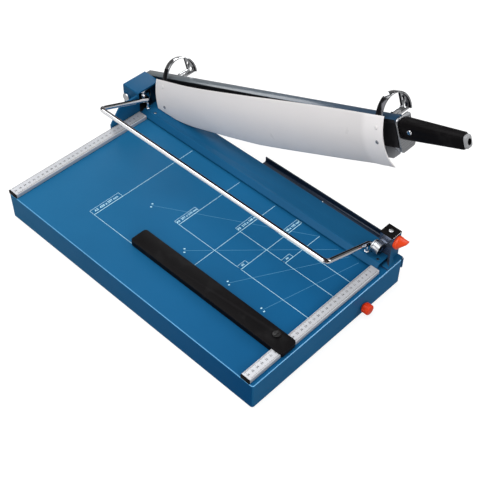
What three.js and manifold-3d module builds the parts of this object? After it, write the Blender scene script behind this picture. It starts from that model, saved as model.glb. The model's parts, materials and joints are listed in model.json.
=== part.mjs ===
// Guillotine paper cutter with a 550 mm cut, in millimetres, +Z up.
// Inside the group named cutter, x is 0 on the cut line and grows to the right, y is 0 on the paper stop and
// grows towards the arm's pivot, and z is 0 on the table top. The exported group stands on the floor.
import * as THREE from 'three';
import * as BufferGeometryUtils from 'three/addons/utils/BufferGeometryUtils.js';
import Module from 'manifold-3d';

const wasm = await Module();
wasm.setup();

// Driving dimensions

// General fits
const seatGap = 0.3;
const runGap = 0.3;
const overrun = 5;
const clampedShare = 0.5;

// Table
const tableWidth = 365;
const tableDepth = 600;
const tableWall = 54;
const tableSheet = 2;
const tableEdgeRadius = 3;
const tableCornerRadius = 4.5;
const tableLip = 26;
const frontMargin = 29.3;

// Rubber feet
const footHeight = 3;
const footRadius = 9;
const footInset = 15;
const footStemRadius = 3;
const footStemLength = 5;

// Bed knife along the right edge
const knifeThickness = 2.7;
const knifeHeight = 22;
const knifeScrewRadius = 2.5;
const knifeScrewHeadRadius = 4.6;
const knifeScrewLength = 9;
const knifeScrewInset = 40;
const knifeScrewCount = 3;

// Scale bars
const scaleWidth = 18.4;
const scaleHeight = 7.8;
const scaleChamfer = 0.8;
const scalePlugLength = 2.4;
const frontScaleInset = 3.2;
const rearScaleInset = 1;
const rearScaleWidth = 21;

// Backstop
const stopWidth = 36;
const stopHeight = 11.5;
const stopRear = 322;
const stopLeft = -300;
const stopHook = 2.6;
const stopHookDrop = 6;
const stopCorner = 6;
const stopLift = 0.4;
const stopKnobRadius = 6.5;
const stopKnobHeight = 2.6;
const stopKnobRib = 1.6;
const stopKnobRibWidth = 3;
const stopStemRadius = 3;
const stopCamRadius = 6.4;
const stopCamThickness = 3.2;

// Press beam
const beamWidth = 54;
const beamLift = 3;
const beamHeight = 9;
const beamSheet = 2.5;
const beamFlat = 1.5;
const beamBevelWidth = 8.5;
const beamFront = -14;
const beamRearInset = 5.7;

// Guide pins and lift springs of the press beam
const guideInset = 15;
const guideFrontInset = 9;
const guideRearInset = 25;
const guideShankRadius = 2.5;
const guideRecess = 0.5;
const guideCollarRadius = 3.4;
const guideCollarHeight = 1;
const springWireRadius = 0.5;
const springRadius = 4.6;
const springTurns = 3;

// Press bail and its bearings
const bailRodRadius = 4;
const bailArm = 124;
const bailTilt = 20.2;
const bailPivotX = -36.5;
const bailPivotZ = 30;
const bailFrontArmY = 18;
const bailRearInset = 8.7;
const bailBend = 8;
const bailJournal = 24;
const hubRadius = 10.5;
const hubLength = 15;
const hubFlangeRadius = 12;
const hubFlangeLength = 2.4;

// Tappets that carry the bail's push to the beam
const tappetOffset = 7;
const tappetRadius = 2.2;
const tappetNutRadius = 4.4;
const tappetNutHeight = 3.4;

// Pivot bracket behind the table
const bracketWidth = 57;
const bracketDepth = 38;
const bracketTop = 50;
const bracketSheet = 3;
const bracketPlate = 4;
const bracketSkirt = 45;
const gussetReach = 69;
const gussetShoulder = 42;
const gussetTop = 44;
const gussetLow = 12;
const bracketBoltInset = 20;
const bracketRoofChamfer = 1.5;
const bracketBoltRadius = 3;
const bracketBoltHeadRadius = 5.5;
const bracketBoltHeadHeight = 4;

// Arm pivot
const pivotSetback = 29.3;
const pivotZ = 27;
const pivotBoltRadius = 5;
const pivotHeadRadius = 9;
const pivotHeadHeight = 6;
const discRadius = 11;
const discWall = 2;
const discCone = 2.4;
const pivotNutRadius = 9.5;
const pivotNutHeight = 8;
const pivotThreadSpare = 3;

// Arm
const armAngle = 20.7;
const armWidth = 18;
const armTop = 19;
const armFlange = 6;
const armWebBottom = -12;
const armOverhang = 16;
const armRear = 13;
const armBossRadius = 19;

// Upper blade
const bladeThickness = 5;
const bladeTopClearance = 0.4;
const bladeRear = 25;
const bladeFrontInset = 1.4;
const bladeRearEdge = 38;
const bladeMidEdge = 57;
const bladeFrontEdge = 51;
const bladeNose = 15;
const bladeNoseRise = 11;
const bladeBevel = 3;
const bladeSteps = 14;
const bladeHoleRadius = 2.5;
const bladeHoleInset = 6;
const bladeHoleRise = 6;
const bladeScrewRadius = 3;
const bladeScrewHeadRadius = 5;
const bladeScrewHeadHeight = 3.4;
const bladeScrewCount = 3;
const bladeScrewInset = 85;

// End plate and handle
const endPlateThickness = 3;
const endPlateWidth = 34.5;
const endPlateDrop = 40;
const endPlateCorner = 6;
const tangWidth = 6;
const tangHeight = 16;
const tangLength = 56;
const handleLength = 113;
const handleAxisX = 15;
const handleRootWidth = 25;
const handleRootHeight = 35;
const handleTipWidth = 18;
const handleTipHeight = 26;
const handleRootDrop = 1;
const handleTipDrop = 4;
const handleCornerShare = 0.36;
const handleEndRound = 3;
const handleScrewRadius = 2.6;
const handleScrewHeadRadius = 4.6;
const handleScrewHeadHeight = 1.6;
const handleScrewInset = 18;
const endCapLength = 5;
const endCapShare = 0.82;
const endCapHoleRadius = 3.6;

// Blade guard: an arched shell whose radius narrows towards the handle
const guardThickness = 2;
const guardRadius = 116;
const guardFrontRadius = 77;
const guardNarrowShare = 0.486;
const guardTopHeight = 26;
// Places along the guard's upper edge, each with its height there, as shares of the length and the height
const guardTopShares = [[0, 0.86], [0.18, 0.74], [0.4, 0.82], [0.62, 0.96], [0.82, 1.06], [1, 1.1]];
const guardDepth = 65;
const guardRear = 46;
const guardFrontInset = 12;
const guardRows = 10;
// Places along the guard's lower edge, each with its depth there, as shares of the length and the depth
const guardEdgeShares = [[0, 0.492], [0.025, 0.577], [0.061, 0.692], [0.086, 0.777], [0.12, 0.845],
  [0.17, 0.9], [0.263, 0.946], [0.37, 0.98], [0.486, 1], [0.6, 0.99], [0.733, 0.969], [0.87, 0.96],
  [1, 0.954]];

// Bows that carry the guard, each with its pin and rivets
const bowRadius = 36.2;
const bowHeight = 11;
const bowThickness = 2.5;
const bowWidth = 12;
const bowRearPlace = 68;
const bowFrontInset = 24;
const bowEndAngle = -9;
const bowMeetAngle = 140.5;
const bowFootDrop = 36;
const bowPivotX = 27.5;
const bowPlateThickness = 4;
const bowPlateInset = 20;
const bowPlateRise = 28;
const bowPlateDrop = 6;
const bowLargeHole = 4.6;
const bowSmallHole = 3.2;
const bowEyeRadius = 6;
const guardPinRadius = 2.5;
const guardPinHeadRadius = 4.4;
const guardPinHeadLength = 2.5;
const guardPinSpare = 2;
const lugLength = 8;
const rivetRadius = 2;
const rivetHeadRadius = 3.4;
const rivetHeadHeight = 1;
const rivetRimShare = 0.6;
const rivetUpper = 11;
const rivetRearLower = -27;
const rivetFrontLower = -12;

// Front bracket, its cap and the lock lever
const postWidth = 23;
const postRight = 1;
const postFront = 17;
const postRear = 9;
const postHeight = 53;
const postSheet = 3;
const capThickness = 2.6;
const capOverhang = 0.6;
const capScrewRadius = 2.5;
const capScrewHeadRadius = 4.4;
const capScrewHeadHeight = 2;
const footPlateThickness = 2.6;
const footPlateLeft = 42;
const footPlateFront = 27.5;
const webTop = 33;
const webFoot = 13;
const webInset = 2;
const leverRadius = 12;
const leverHub = 6;
const leverReach = 10;
const leverPivotX = -12;
const leverPivotZ = 40;
const leverRootShare = 0.94;
const leverTipShift = 8;
const leverTipRise = 1;
const leverTipHalf = 5.5;
const leverTipThick = 2.4;
const leverPinRadius = 3;
const leverPinLength = 14;
const leverPinHeadRadius = 4.6;

// Strip gauge to the right of the cut
const gaugeInner = 8;
const gaugeWidth = 11.5;
const gaugeTop = 7;
const gaugeUpright = 12;
const gaugeBend = 1.6;
const gaugeNotchPlace = 158;
const gaugeNotchWidth = 3;
const gaugeNotchDepth = 4;
const gaugeSheet = 2;
const gaugeFront = 20;
const gaugeRear = 305;
const gaugeTabInset = 25;
const gaugeTabWidth = 20;
const gaugeTabThickness = 3;
const gaugeRodRadius = 5;
const gaugeRodZ = -38;
const gaugeRodLength = 190;
const gaugeRodNeckRadius = 3;
const gaugeRodHeadLength = 2.4;
const guideBlockLength = 28;
const guideBlockWidth = 22;
const guideBlockDrop = 50;

// Red knob that locks the strip gauge
const gaugeKnobX = -102;
const gaugeKnobRadius = 9.5;
const gaugeKnobLength = 15;
const gaugeKnobRoot = 6.5;
const gaugeKnobRootLength = 3;
const gaugeSpindleRadius = 3;
const gaugeKnobFlutes = 10;
const gaugeKnobFluteRadius = 1.4;

// Faces on round pieces
const roundSides = 24;
const smallSides = 16;

// Materials
function finish(color, roughness, metalness) {
  return new THREE.MeshStandardMaterial({ color, roughness, metalness });
}

const tableBlue = finish(0x3f7fa8, 0.45, 0.2);
const darkBlue = finish(0x1d5a8c, 0.45, 0.2);
const paleGrey = finish(0xd6d6d8, 0.4, 0);
const blackPlastic = finish(0x161415, 0.5, 0);
const blackSteel = finish(0x18181a, 0.45, 0.5);
const aluminium = finish(0xcdcdd2, 0.35, 0.9);
const chrome = finish(0xdfe2e6, 0.12, 1);
const steel = finish(0xa8adb4, 0.3, 0.9);
const redPlastic = finish(0xe03c14, 0.4, 0);
const rubber = finish(0x151515, 0.9, 0);
const capGrey = finish(0x8a8d90, 0.5, 0);

// Solids

// A closed geometry, with its shared corners merged, as a solid to join and cut
function toSolid(geometry) {
  const bare = geometry.clone();
  bare.deleteAttribute('normal');
  bare.deleteAttribute('uv');
  const merged = BufferGeometryUtils.mergeVertices(bare);
  const vertProperties = new Float32Array(merged.attributes.position.array);
  const triVerts = new Uint32Array(merged.index.array);
  return new wasm.Manifold(new wasm.Mesh({ numProp: 3, vertProperties, triVerts }));
}

function toGeometry(solid) {
  const mesh = solid.getMesh();
  const geometry = new THREE.BufferGeometry();
  geometry.setAttribute('position', new THREE.BufferAttribute(mesh.vertProperties, 3));
  geometry.setIndex(new THREE.BufferAttribute(mesh.triVerts, 1));
  const flat = geometry.toNonIndexed();
  flat.computeVertexNormals();
  return flat;
}

// A box between two values on each axis
function block([x0, x1], [y0, y1], [z0, z1]) {
  const geometry = new THREE.BoxGeometry(x1 - x0, y1 - y0, z1 - z0);
  geometry.translate((x0 + x1) / 2, (y0 + y1) / 2, (z0 + z1) / 2);
  return toSolid(geometry);
}

// Turns a geometry made along +Z so that it runs along another axis
function alongAxis(geometry, axis) {
  if (axis === 'x') geometry.rotateY(Math.PI / 2);
  if (axis === 'y') geometry.rotateX(-Math.PI / 2);
  return geometry;
}

// A closed profile of [radius, height] pairs turned about the axis, then moved to a place
function turned(profile, axis, [x, y, z], sides = roundSides) {
  const points = profile.map(([radius, height]) => new THREE.Vector2(radius, height));
  const geometry = new THREE.LatheGeometry(points, sides);
  geometry.rotateX(Math.PI / 2);
  alongAxis(geometry, axis);
  geometry.translate(x, y, z);
  return toSolid(geometry);
}

// A plain round bar from one place along an axis
function bar(radius, length, axis, place, sides = roundSides) {
  return turned([[0, 0], [radius, 0], [radius, length], [0, length]], axis, place, sides);
}

// An outline of [a, b] pairs pushed along an axis: for y, a is x and b is z; for x, a is y and b is z
function prism(outline, depth, axis, start, holes = []) {
  const shape = new THREE.Shape(outline.map(([a, b]) => new THREE.Vector2(a, b)));
  for (const hole of holes) shape.holes.push(hole);
  const geometry = new THREE.ExtrudeGeometry(shape, { depth, bevelEnabled: false, curveSegments: 8 });
  if (axis === 'y') {
    geometry.rotateX(Math.PI / 2);
    geometry.translate(0, start + depth, 0);
  }
  if (axis === 'x') {
    geometry.rotateX(Math.PI / 2);
    geometry.rotateZ(Math.PI / 2);
    geometry.translate(start, 0, 0);
  }
  if (axis === 'z') geometry.translate(0, 0, start);
  return toSolid(geometry);
}

// A rectangle with round corners, as outline points
function roundedOutline([a0, a1], [b0, b1], radius, steps = 4) {
  const points = [];
  const centres = [[a1 - radius, b1 - radius], [a0 + radius, b1 - radius],
    [a0 + radius, b0 + radius], [a1 - radius, b0 + radius]];
  centres.forEach(([a, b], quarter) => {
    for (let step = 0; step <= steps; step += 1) {
      const angle = (quarter + step / steps) * Math.PI / 2;
      points.push([a + radius * Math.cos(angle), b + radius * Math.sin(angle)]);
    }
  });
  return points;
}

// A closed solid through rings of points that all have the same count
function loft(rings) {
  const count = rings[0].length;
  const positions = rings.flat().flatMap((point) => [point.x, point.y, point.z]);
  const index = [];
  for (let ring = 0; ring < rings.length - 1; ring += 1) {
    for (let corner = 0; corner < count; corner += 1) {
      const here = ring * count + corner;
      const next = ring * count + (corner + 1) % count;
      index.push(here, next, here + count, next, next + count, here + count);
    }
  }
  const last = (rings.length - 1) * count;
  for (const [a, b, c] of capTriangles(rings[0])) index.push(c, b, a);
  for (const [a, b, c] of capTriangles(rings[rings.length - 1])) index.push(last + a, last + b, last + c);
  const geometry = new THREE.BufferGeometry();
  geometry.setAttribute('position', new THREE.Float32BufferAttribute(positions, 3));
  geometry.setIndex(index);
  const solid = toSolid(geometry);
  return solid.volume() > 0 ? solid : toSolid(flipped(geometry));
}

function flipped(geometry) {
  const index = Array.from(geometry.index.array);
  for (let corner = 0; corner < index.length; corner += 3) {
    [index[corner], index[corner + 1]] = [index[corner + 1], index[corner]];
  }
  const turnedOver = geometry.clone();
  turnedOver.setIndex(index);
  return turnedOver;
}

// Triangles that close a ring, found in the plane that the ring faces
function capTriangles(ring) {
  const normal = new THREE.Vector3();
  ring.forEach((point, corner) => {
    const next = ring[(corner + 1) % ring.length];
    normal.add(new THREE.Vector3().crossVectors(point, next));
  });
  const upright = new THREE.Quaternion().setFromUnitVectors(normal.normalize(), new THREE.Vector3(0, 0, 1));
  const flat = ring.map((point) => point.clone().applyQuaternion(upright));
  return THREE.ShapeUtils.triangulateShape(flat.map((point) => new THREE.Vector2(point.x, point.y)), []);
}

// Points of an arc from one angle to another, in degrees
function arcPoints([a, b], radius, from, to, steps) {
  return Array.from({ length: steps + 1 }, (unused, step) => {
    const angle = THREE.MathUtils.degToRad(from + (to - from) * step / steps);
    return [a + radius * Math.cos(angle), b + radius * Math.sin(angle)];
  });
}

// A round hole for a shape
function roundHole([a, b], radius) {
  const hole = new THREE.Path();
  hole.absarc(a, b, radius, 0, 2 * Math.PI, true);
  return hole;
}

// A path through given points, each of them kept as a step of the extrusion
class PointPath extends THREE.Curve {
  constructor(points) {
    super();
    this.points = points;
  }

  getPoint(share, target = new THREE.Vector3()) {
    const place = share * (this.points.length - 1);
    const before = Math.min(Math.floor(place), this.points.length - 2);
    return target.lerpVectors(this.points[before], this.points[before + 1], place - before);
  }

  getPointAt(share, target) {
    return this.getPoint(share, target);
  }

  getTangentAt(share, target = new THREE.Vector3()) {
    const place = Math.round(share * (this.points.length - 1));
    const before = this.points[Math.max(place - 1, 0)];
    const after = this.points[Math.min(place + 1, this.points.length - 1)];
    return target.subVectors(after, before).normalize();
  }
}

// A round rod along a list of points
function rodAlong(points, radius, sides) {
  const section = new THREE.Shape();
  const outline = arcPoints([0, 0], radius, 0, 360 - 360 / sides, sides - 1);
  section.setFromPoints(outline.map(([a, b]) => new THREE.Vector2(a, b)));
  const geometry = new THREE.ExtrudeGeometry(section, {
    steps: points.length - 1,
    extrudePath: new PointPath(points),
    bevelEnabled: false,
  });
  return toSolid(geometry);
}

// The corners of a route, each rounded by an arc of the given radius
function roundedRoute(corners, radius, steps) {
  const points = [corners[0]];
  for (let corner = 1; corner < corners.length - 1; corner += 1) {
    const here = corners[corner];
    const back = corners[corner - 1].clone().sub(here).normalize();
    const ahead = corners[corner + 1].clone().sub(here).normalize();
    const half = back.angleTo(ahead) / 2;
    const centre = back.clone().add(ahead).normalize().multiplyScalar(radius / Math.sin(half)).add(here);
    const start = here.clone().addScaledVector(back, radius / Math.tan(half)).sub(centre);
    const end = here.clone().addScaledVector(ahead, radius / Math.tan(half)).sub(centre);
    const normal = new THREE.Vector3().crossVectors(start, end).normalize();
    const sweep = start.angleTo(end);
    for (let step = 0; step <= steps; step += 1) {
      const spoke = start.clone().applyAxisAngle(normal, sweep * step / steps);
      points.push(spoke.add(centre));
    }
  }
  points.push(corners[corners.length - 1]);
  return points;
}

// Scene

const group = new THREE.Group();
const cutter = new THREE.Group();
group.add(cutter);

function part(name, solid, material, parent = cutter) {
  const mesh = new THREE.Mesh(toGeometry(solid), material);
  mesh.name = name;
  parent.add(mesh);
  return mesh;
}

// Places that several pieces share
const tableRight = -knifeThickness - seatGap;
const tableLeft = tableRight - tableWidth;
const tableFront = -frontMargin;
const tableRear = tableFront + tableDepth;
const beamRear = tableRear - beamRearInset;
const bailRearArmY = tableRear - bailRearInset;
const pivotY = tableRear + pivotSetback;
const armFront = pivotY + armOverhang;
const bladeFront = armFront - bladeFrontInset;
const guardFront = armFront - guardFrontInset;
const bowFrontPlace = armFront - bowFrontInset;
const tableBottom = -tableWall;
const beamLeft = tableRight - beamWidth;
const beamBottom = beamLift;
const beamTopZ = beamBottom + beamHeight;
const postLeftX = -postRight - postWidth;
const scaleTop = seatGap + scaleHeight;
const frontScaleRearY = -frontScaleInset;
const frontScaleFrontY = frontScaleRearY - scaleWidth;
const scaleLeft = tableLeft + scalePlugLength;
const scaleRight = beamLeft - 1.5 * runGap;
const gaugeTabX = gaugeInner + gaugeWidth - gaugeTabThickness;
const gaugeRodYs = [gaugeFront + gaugeTabInset, gaugeRear - gaugeTabInset];
const guideXs = beamLeft + guideInset;
const guideYs = [beamFront + guideFrontInset, beamRear - guideRearInset];

// Table

function tableTray() {
  const inset = tableEdgeRadius;
  const outline = roundedOutline(
    [tableLeft + inset, tableRight - inset],
    [tableFront + inset, tableRear - inset],
    tableCornerRadius - tableEdgeRadius,
  );
  const shape = new THREE.Shape(outline.map(([a, b]) => new THREE.Vector2(a, b)));
  const geometry = new THREE.ExtrudeGeometry(shape, {
    depth: tableWall,
    bevelEnabled: true,
    bevelThickness: tableEdgeRadius,
    bevelSize: tableEdgeRadius,
    bevelSegments: 3,
  });
  geometry.translate(0, 0, tableBottom - tableEdgeRadius);
  return toSolid(geometry);
}

function tableShell() {
  const wide = [tableLeft - overrun, tableRight + overrun];
  const deep = [tableFront - overrun, tableRear + overrun];
  let shell = tableTray().subtract(block(wide, deep, [tableBottom - 2 * overrun, tableBottom]));
  const inner = roundedOutline(
    [tableLeft + tableSheet, tableRight - tableSheet],
    [tableFront + tableSheet, tableRear - tableSheet],
    tableCornerRadius - tableSheet,
  );
  shell = shell.subtract(prism(inner, tableWall - 2 * tableSheet, 'z', tableBottom + tableSheet));
  const opening = [tableLeft + tableLip, tableRight - tableLip];
  const openingDepth = [tableFront + tableLip, tableRear - tableLip];
  shell = shell.subtract(block(opening, openingDepth, [tableBottom - overrun, tableBottom + overrun]));
  for (const y of gaugeRodYs) {
    const place = [tableRight - overrun, y, gaugeRodZ];
    shell = shell.subtract(bar(gaugeRodRadius + runGap, 2 * overrun, 'x', place));
  }
  const spindleHole = [gaugeKnobX, tableFront - overrun, gaugeRodZ];
  shell = shell.subtract(bar(gaugeSpindleRadius + runGap, 2 * overrun, 'y', spindleHole));
  for (const [x, y] of footPlaces()) {
    const place = [x, y, tableBottom - overrun];
    shell = shell.subtract(bar(footStemRadius + runGap, 2 * overrun, 'z', place, smallSides));
  }
  for (const y of guideYs) {
    const place = [guideXs, y, -overrun];
    shell = shell.subtract(bar(guideShankRadius + runGap, 2 * overrun, 'z', place, smallSides));
  }
  for (const y of knifeScrewPlaces()) {
    const place = [tableRight - overrun, y, -knifeHeight / 2];
    shell = shell.subtract(bar(knifeScrewRadius + runGap, 2 * overrun, 'x', place, smallSides));
  }
  for (const [x, z] of bracketBoltPlaces()) {
    const place = [x, tableRear - overrun, z];
    shell = shell.subtract(bar(bracketBoltRadius + runGap, 2 * overrun, 'y', place, smallSides));
  }
  return shell;
}

function footPlaces() {
  const xs = [tableLeft + footInset, tableRight - footInset];
  const ys = [tableFront + footInset, tableRear - footInset];
  return xs.flatMap((x) => ys.map((y) => [x, y]));
}

function foot(x, y) {
  const disc = footHeight - seatGap;
  const profile = [[0, 0], [footRadius, 0], [footRadius, disc], [footStemRadius, disc],
    [footStemRadius, disc + footStemLength], [0, disc + footStemLength]];
  return turned(profile, 'z', [x, y, tableBottom - footHeight], smallSides);
}

part('table_shell', tableShell(), tableBlue);
footPlaces().forEach(([x, y], count) => part(`rubber_foot_${count + 1}`, foot(x, y), rubber));

// Bed knife

function knifeScrewPlaces() {
  const span = tableDepth - 2 * knifeScrewInset;
  const step = span / (knifeScrewCount - 1);
  const first = tableFront + knifeScrewInset;
  return Array.from({ length: knifeScrewCount }, (unused, count) => first + count * step);
}

function knifeScrewProfile(extra) {
  const headDepth = knifeScrewHeadRadius - knifeScrewRadius;
  return [[0, -knifeScrewLength], [knifeScrewRadius + extra, -knifeScrewLength],
    [knifeScrewRadius + extra, -headDepth - extra], [knifeScrewHeadRadius + extra, -extra],
    [knifeScrewHeadRadius + extra, extra], [0, extra]];
}

function bedKnife() {
  let knife = block([-knifeThickness, 0], [tableFront, tableRear], [-knifeHeight, 0]);
  for (const y of knifeScrewPlaces()) {
    const place = [0, y, -knifeHeight / 2];
    knife = knife.subtract(turned(knifeScrewProfile(runGap), 'x', place, smallSides));
  }
  return knife;
}

function knifeScrew(y) {
  const headDepth = knifeScrewHeadRadius - knifeScrewRadius;
  const profile = [[0, -knifeScrewLength], [knifeScrewRadius, -knifeScrewLength],
    [knifeScrewRadius, -headDepth], [knifeScrewHeadRadius, 0], [0, 0]];
  return turned(profile, 'x', [-seatGap / 2, y, -knifeHeight / 2], smallSides);
}

part('bed_knife', bedKnife(), steel);
knifeScrewPlaces().forEach((y, count) => part(`bed_knife_screw_${count + 1}`, knifeScrew(y), steel));

// Scale bars

function scaleBar(front, rear) {
  const outline = [[front, seatGap], [rear, seatGap], [rear, scaleTop - scaleChamfer],
    [rear - scaleChamfer, scaleTop], [front + scaleChamfer, scaleTop], [front, scaleTop - scaleChamfer]];
  return prism(outline, scaleRight - scaleLeft, 'x', scaleLeft);
}

function scalePlug(front, rear) {
  const outline = roundedOutline([front, rear], [seatGap, scaleTop], scaleChamfer);
  return prism(outline, scalePlugLength - seatGap, 'x', tableLeft);
}

const rearScaleRearY = tableRear - rearScaleInset;
const rearScaleFrontY = rearScaleRearY - rearScaleWidth;
part('front_scale_bar', scaleBar(frontScaleFrontY, frontScaleRearY), aluminium);
part('rear_scale_bar', scaleBar(rearScaleFrontY, rearScaleRearY), aluminium);
part('front_scale_plug', scalePlug(frontScaleFrontY, frontScaleRearY), blackPlastic);
part('rear_scale_plug', scalePlug(rearScaleFrontY, rearScaleRearY), blackPlastic);

// Press beam with its guide pins and springs

function pressBeam() {
  const right = tableRight;
  const bevelStart = beamBottom + beamFlat;
  const outline = [[beamLeft, beamBottom], [right, beamBottom], [right, beamTopZ],
    [beamLeft + beamBevelWidth, beamTopZ], [beamLeft, bevelStart]];
  let beam = prism(outline, beamRear - beamFront, 'y', beamFront);
  const hollowTop = beamTopZ - beamSheet;
  const slope = (beamTopZ - bevelStart) / beamBevelWidth;
  const hollowLow = beamBottom - overrun;
  const lineAt = (z) => beamLeft + (z - bevelStart + beamSheet * Math.hypot(1, slope)) / slope;
  const hollowFoot = Math.max(lineAt(hollowLow), beamLeft + beamSheet);
  const hollowKnee = bevelStart - beamSheet * Math.hypot(1, slope) + beamSheet * slope;
  const hollow = [[hollowFoot, hollowLow], [right - beamSheet, hollowLow], [right - beamSheet, hollowTop],
    [lineAt(hollowTop), hollowTop], [hollowFoot, hollowKnee]];
  const hollowLength = beamRear - beamFront + 2 * overrun;
  beam = beam.subtract(prism(hollow, hollowLength, 'y', beamFront - overrun));
  const notch = [[postLeftX - runGap, right + overrun], [beamFront - overrun, postRear + runGap]];
  beam = beam.subtract(block(notch[0], notch[1], [beamBottom - overrun, beamTopZ + overrun]));
  for (const y of guideYs) {
    const place = [guideXs, y, beamBottom];
    beam = beam.subtract(bar(guideShankRadius + runGap, beamHeight + overrun, 'z', place, smallSides));
  }
  return beam;
}

function guidePin(y) {
  const top = beamTopZ - guideRecess;
  const rivetEnd = -tableSheet - seatGap;
  const profile = [[0, rivetEnd - guideCollarHeight], [guideCollarRadius, rivetEnd - guideCollarHeight],
    [guideCollarRadius, rivetEnd], [guideShankRadius, rivetEnd], [guideShankRadius, seatGap],
    [guideCollarRadius, seatGap], [guideCollarRadius, seatGap + guideCollarHeight],
    [guideShankRadius, seatGap + guideCollarHeight], [guideShankRadius, top], [0, top]];
  return turned(profile, 'z', [guideXs, y, 0], smallSides);
}

function liftSpring(y) {
  const low = seatGap + springWireRadius + seatGap;
  const high = beamTopZ - beamSheet - springWireRadius - seatGap;
  const perTurn = 8;
  const count = springTurns * perTurn;
  const points = Array.from({ length: count + 1 }, (unused, step) => {
    const angle = 2 * Math.PI * step / perTurn;
    return new THREE.Vector3(
      guideXs + springRadius * Math.cos(angle),
      y + springRadius * Math.sin(angle),
      low + (high - low) * step / count,
    );
  });
  printLeastGap('beam lift spring', points, springWireRadius, perTurn / 2);
  return rodAlong(points, springWireRadius, 5);
}

// The least free space between a coil's turns, from its points
function printLeastGap(name, points, radius, skipped) {
  let least = Infinity;
  points.forEach((point, count) => {
    for (let other = count + skipped; other < points.length; other += 1) {
      least = Math.min(least, point.distanceTo(points[other]) - 2 * radius);
    }
  });
  console.log(`${name}: least gap to itself ${least.toFixed(2)} mm`);
}

part('press_beam', pressBeam(), darkBlue);
guideYs.forEach((y, count) => {
  const end = ['front', 'rear'][count];
  part(`beam_guide_pin_${end}`, guidePin(y), blackSteel);
  part(`beam_lift_spring_${end}`, liftSpring(y), steel);
});

// Tappets, set screws with lock nuts on top of the beam

function tappet(y) {
  const foot0 = beamTopZ + seatGap;
  const low = THREE.MathUtils.degToRad(bailTilt);
  const innerEdge = tappetOffset - tappetRadius;
  const rodUnderside = bailPivotZ + innerEdge * Math.tan(low) - bailRodRadius / Math.cos(low);
  const top = rodUnderside - seatGap - foot0;
  const shank = [[0, 0], [tappetRadius, 0], [tappetRadius, top], [0, top]];
  const nut = [[0, 0], [tappetNutRadius, 0], [tappetNutRadius, tappetNutHeight], [0, tappetNutHeight]];
  const place = [bailPivotX - tappetOffset, y, foot0];
  return turned(shank, 'z', place, smallSides).add(turned(nut, 'z', place, 6));
}

part('tappet_front', tappet(bailFrontArmY), steel);
part('tappet_rear', tappet(bailRearArmY - 2 * runGap - tappetRadius), steel);

// Press bail

function pressBail() {
  const tilt = THREE.MathUtils.degToRad(bailTilt);
  const place = (reach, y) => new THREE.Vector3(
    bailPivotX - reach * Math.cos(tilt),
    y,
    bailPivotZ + reach * Math.sin(tilt),
  );
  const corners = [place(0, bailFrontArmY - bailJournal), place(0, bailFrontArmY),
    place(bailArm, bailFrontArmY), place(bailArm, bailRearArmY),
    place(0, bailRearArmY), place(0, bailRearArmY + bailJournal)];
  return rodAlong(roundedRoute(corners, bailBend, 6), bailRodRadius, 14);
}

part('press_bail', pressBail(), chrome);

// Front bearing: a flanged hub carried sideways by the front post
function frontBearing() {
  const y0 = bailFrontArmY - bailBend - runGap - hubLength;
  const profile = [[0, 0], [hubRadius, 0], [hubRadius, hubLength - hubFlangeLength],
    [hubFlangeRadius, hubLength - hubFlangeLength], [hubFlangeRadius, hubLength], [0, hubLength]];
  const hub = turned(profile, 'y', [bailPivotX, y0, bailPivotZ]);
  const armHeight = hubRadius * clampedShare;
  const carrier = block(
    [bailPivotX, postLeftX - seatGap],
    [y0, y0 + hubLength - hubFlangeLength],
    [bailPivotZ - armHeight, bailPivotZ + armHeight],
  );
  const boreLength = hubLength + 2 * overrun;
  const bore = bar(bailRodRadius + runGap, boreLength, 'y', [bailPivotX, y0 - overrun, bailPivotZ]);
  return hub.add(carrier).subtract(bore);
}

// Rear bearing: a block under the roof of the pivot bracket
function rearBearing() {
  const y0 = bailRearArmY + bailBend + runGap;
  const profile = [[0, 0], [hubRadius, 0], [hubRadius, hubLength], [0, hubLength]];
  const hub = turned(profile, 'y', [bailPivotX, y0, bailPivotZ]);
  const carrier = block(
    [bailPivotX - hubRadius, bailPivotX + hubRadius],
    [y0, y0 + hubLength],
    [bailPivotZ, bracketTop - bracketSheet - seatGap],
  );
  const boreLength = hubLength + 2 * overrun;
  const bore = bar(bailRodRadius + runGap, boreLength, 'y', [bailPivotX, y0 - overrun, bailPivotZ]);
  return hub.add(carrier).subtract(bore);
}

part('bail_bearing_front', frontBearing(), chrome);
part('bail_bearing_rear', rearBearing(), steel);

// Pivot bracket, bolted to the table's rear wall

function bracketBoltPlaces() {
  const z = -bracketSkirt / 2;
  return [-bracketWidth - gussetReach + bracketBoltInset, -bracketWidth / 2].map((x) => [x, z]);
}

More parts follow.
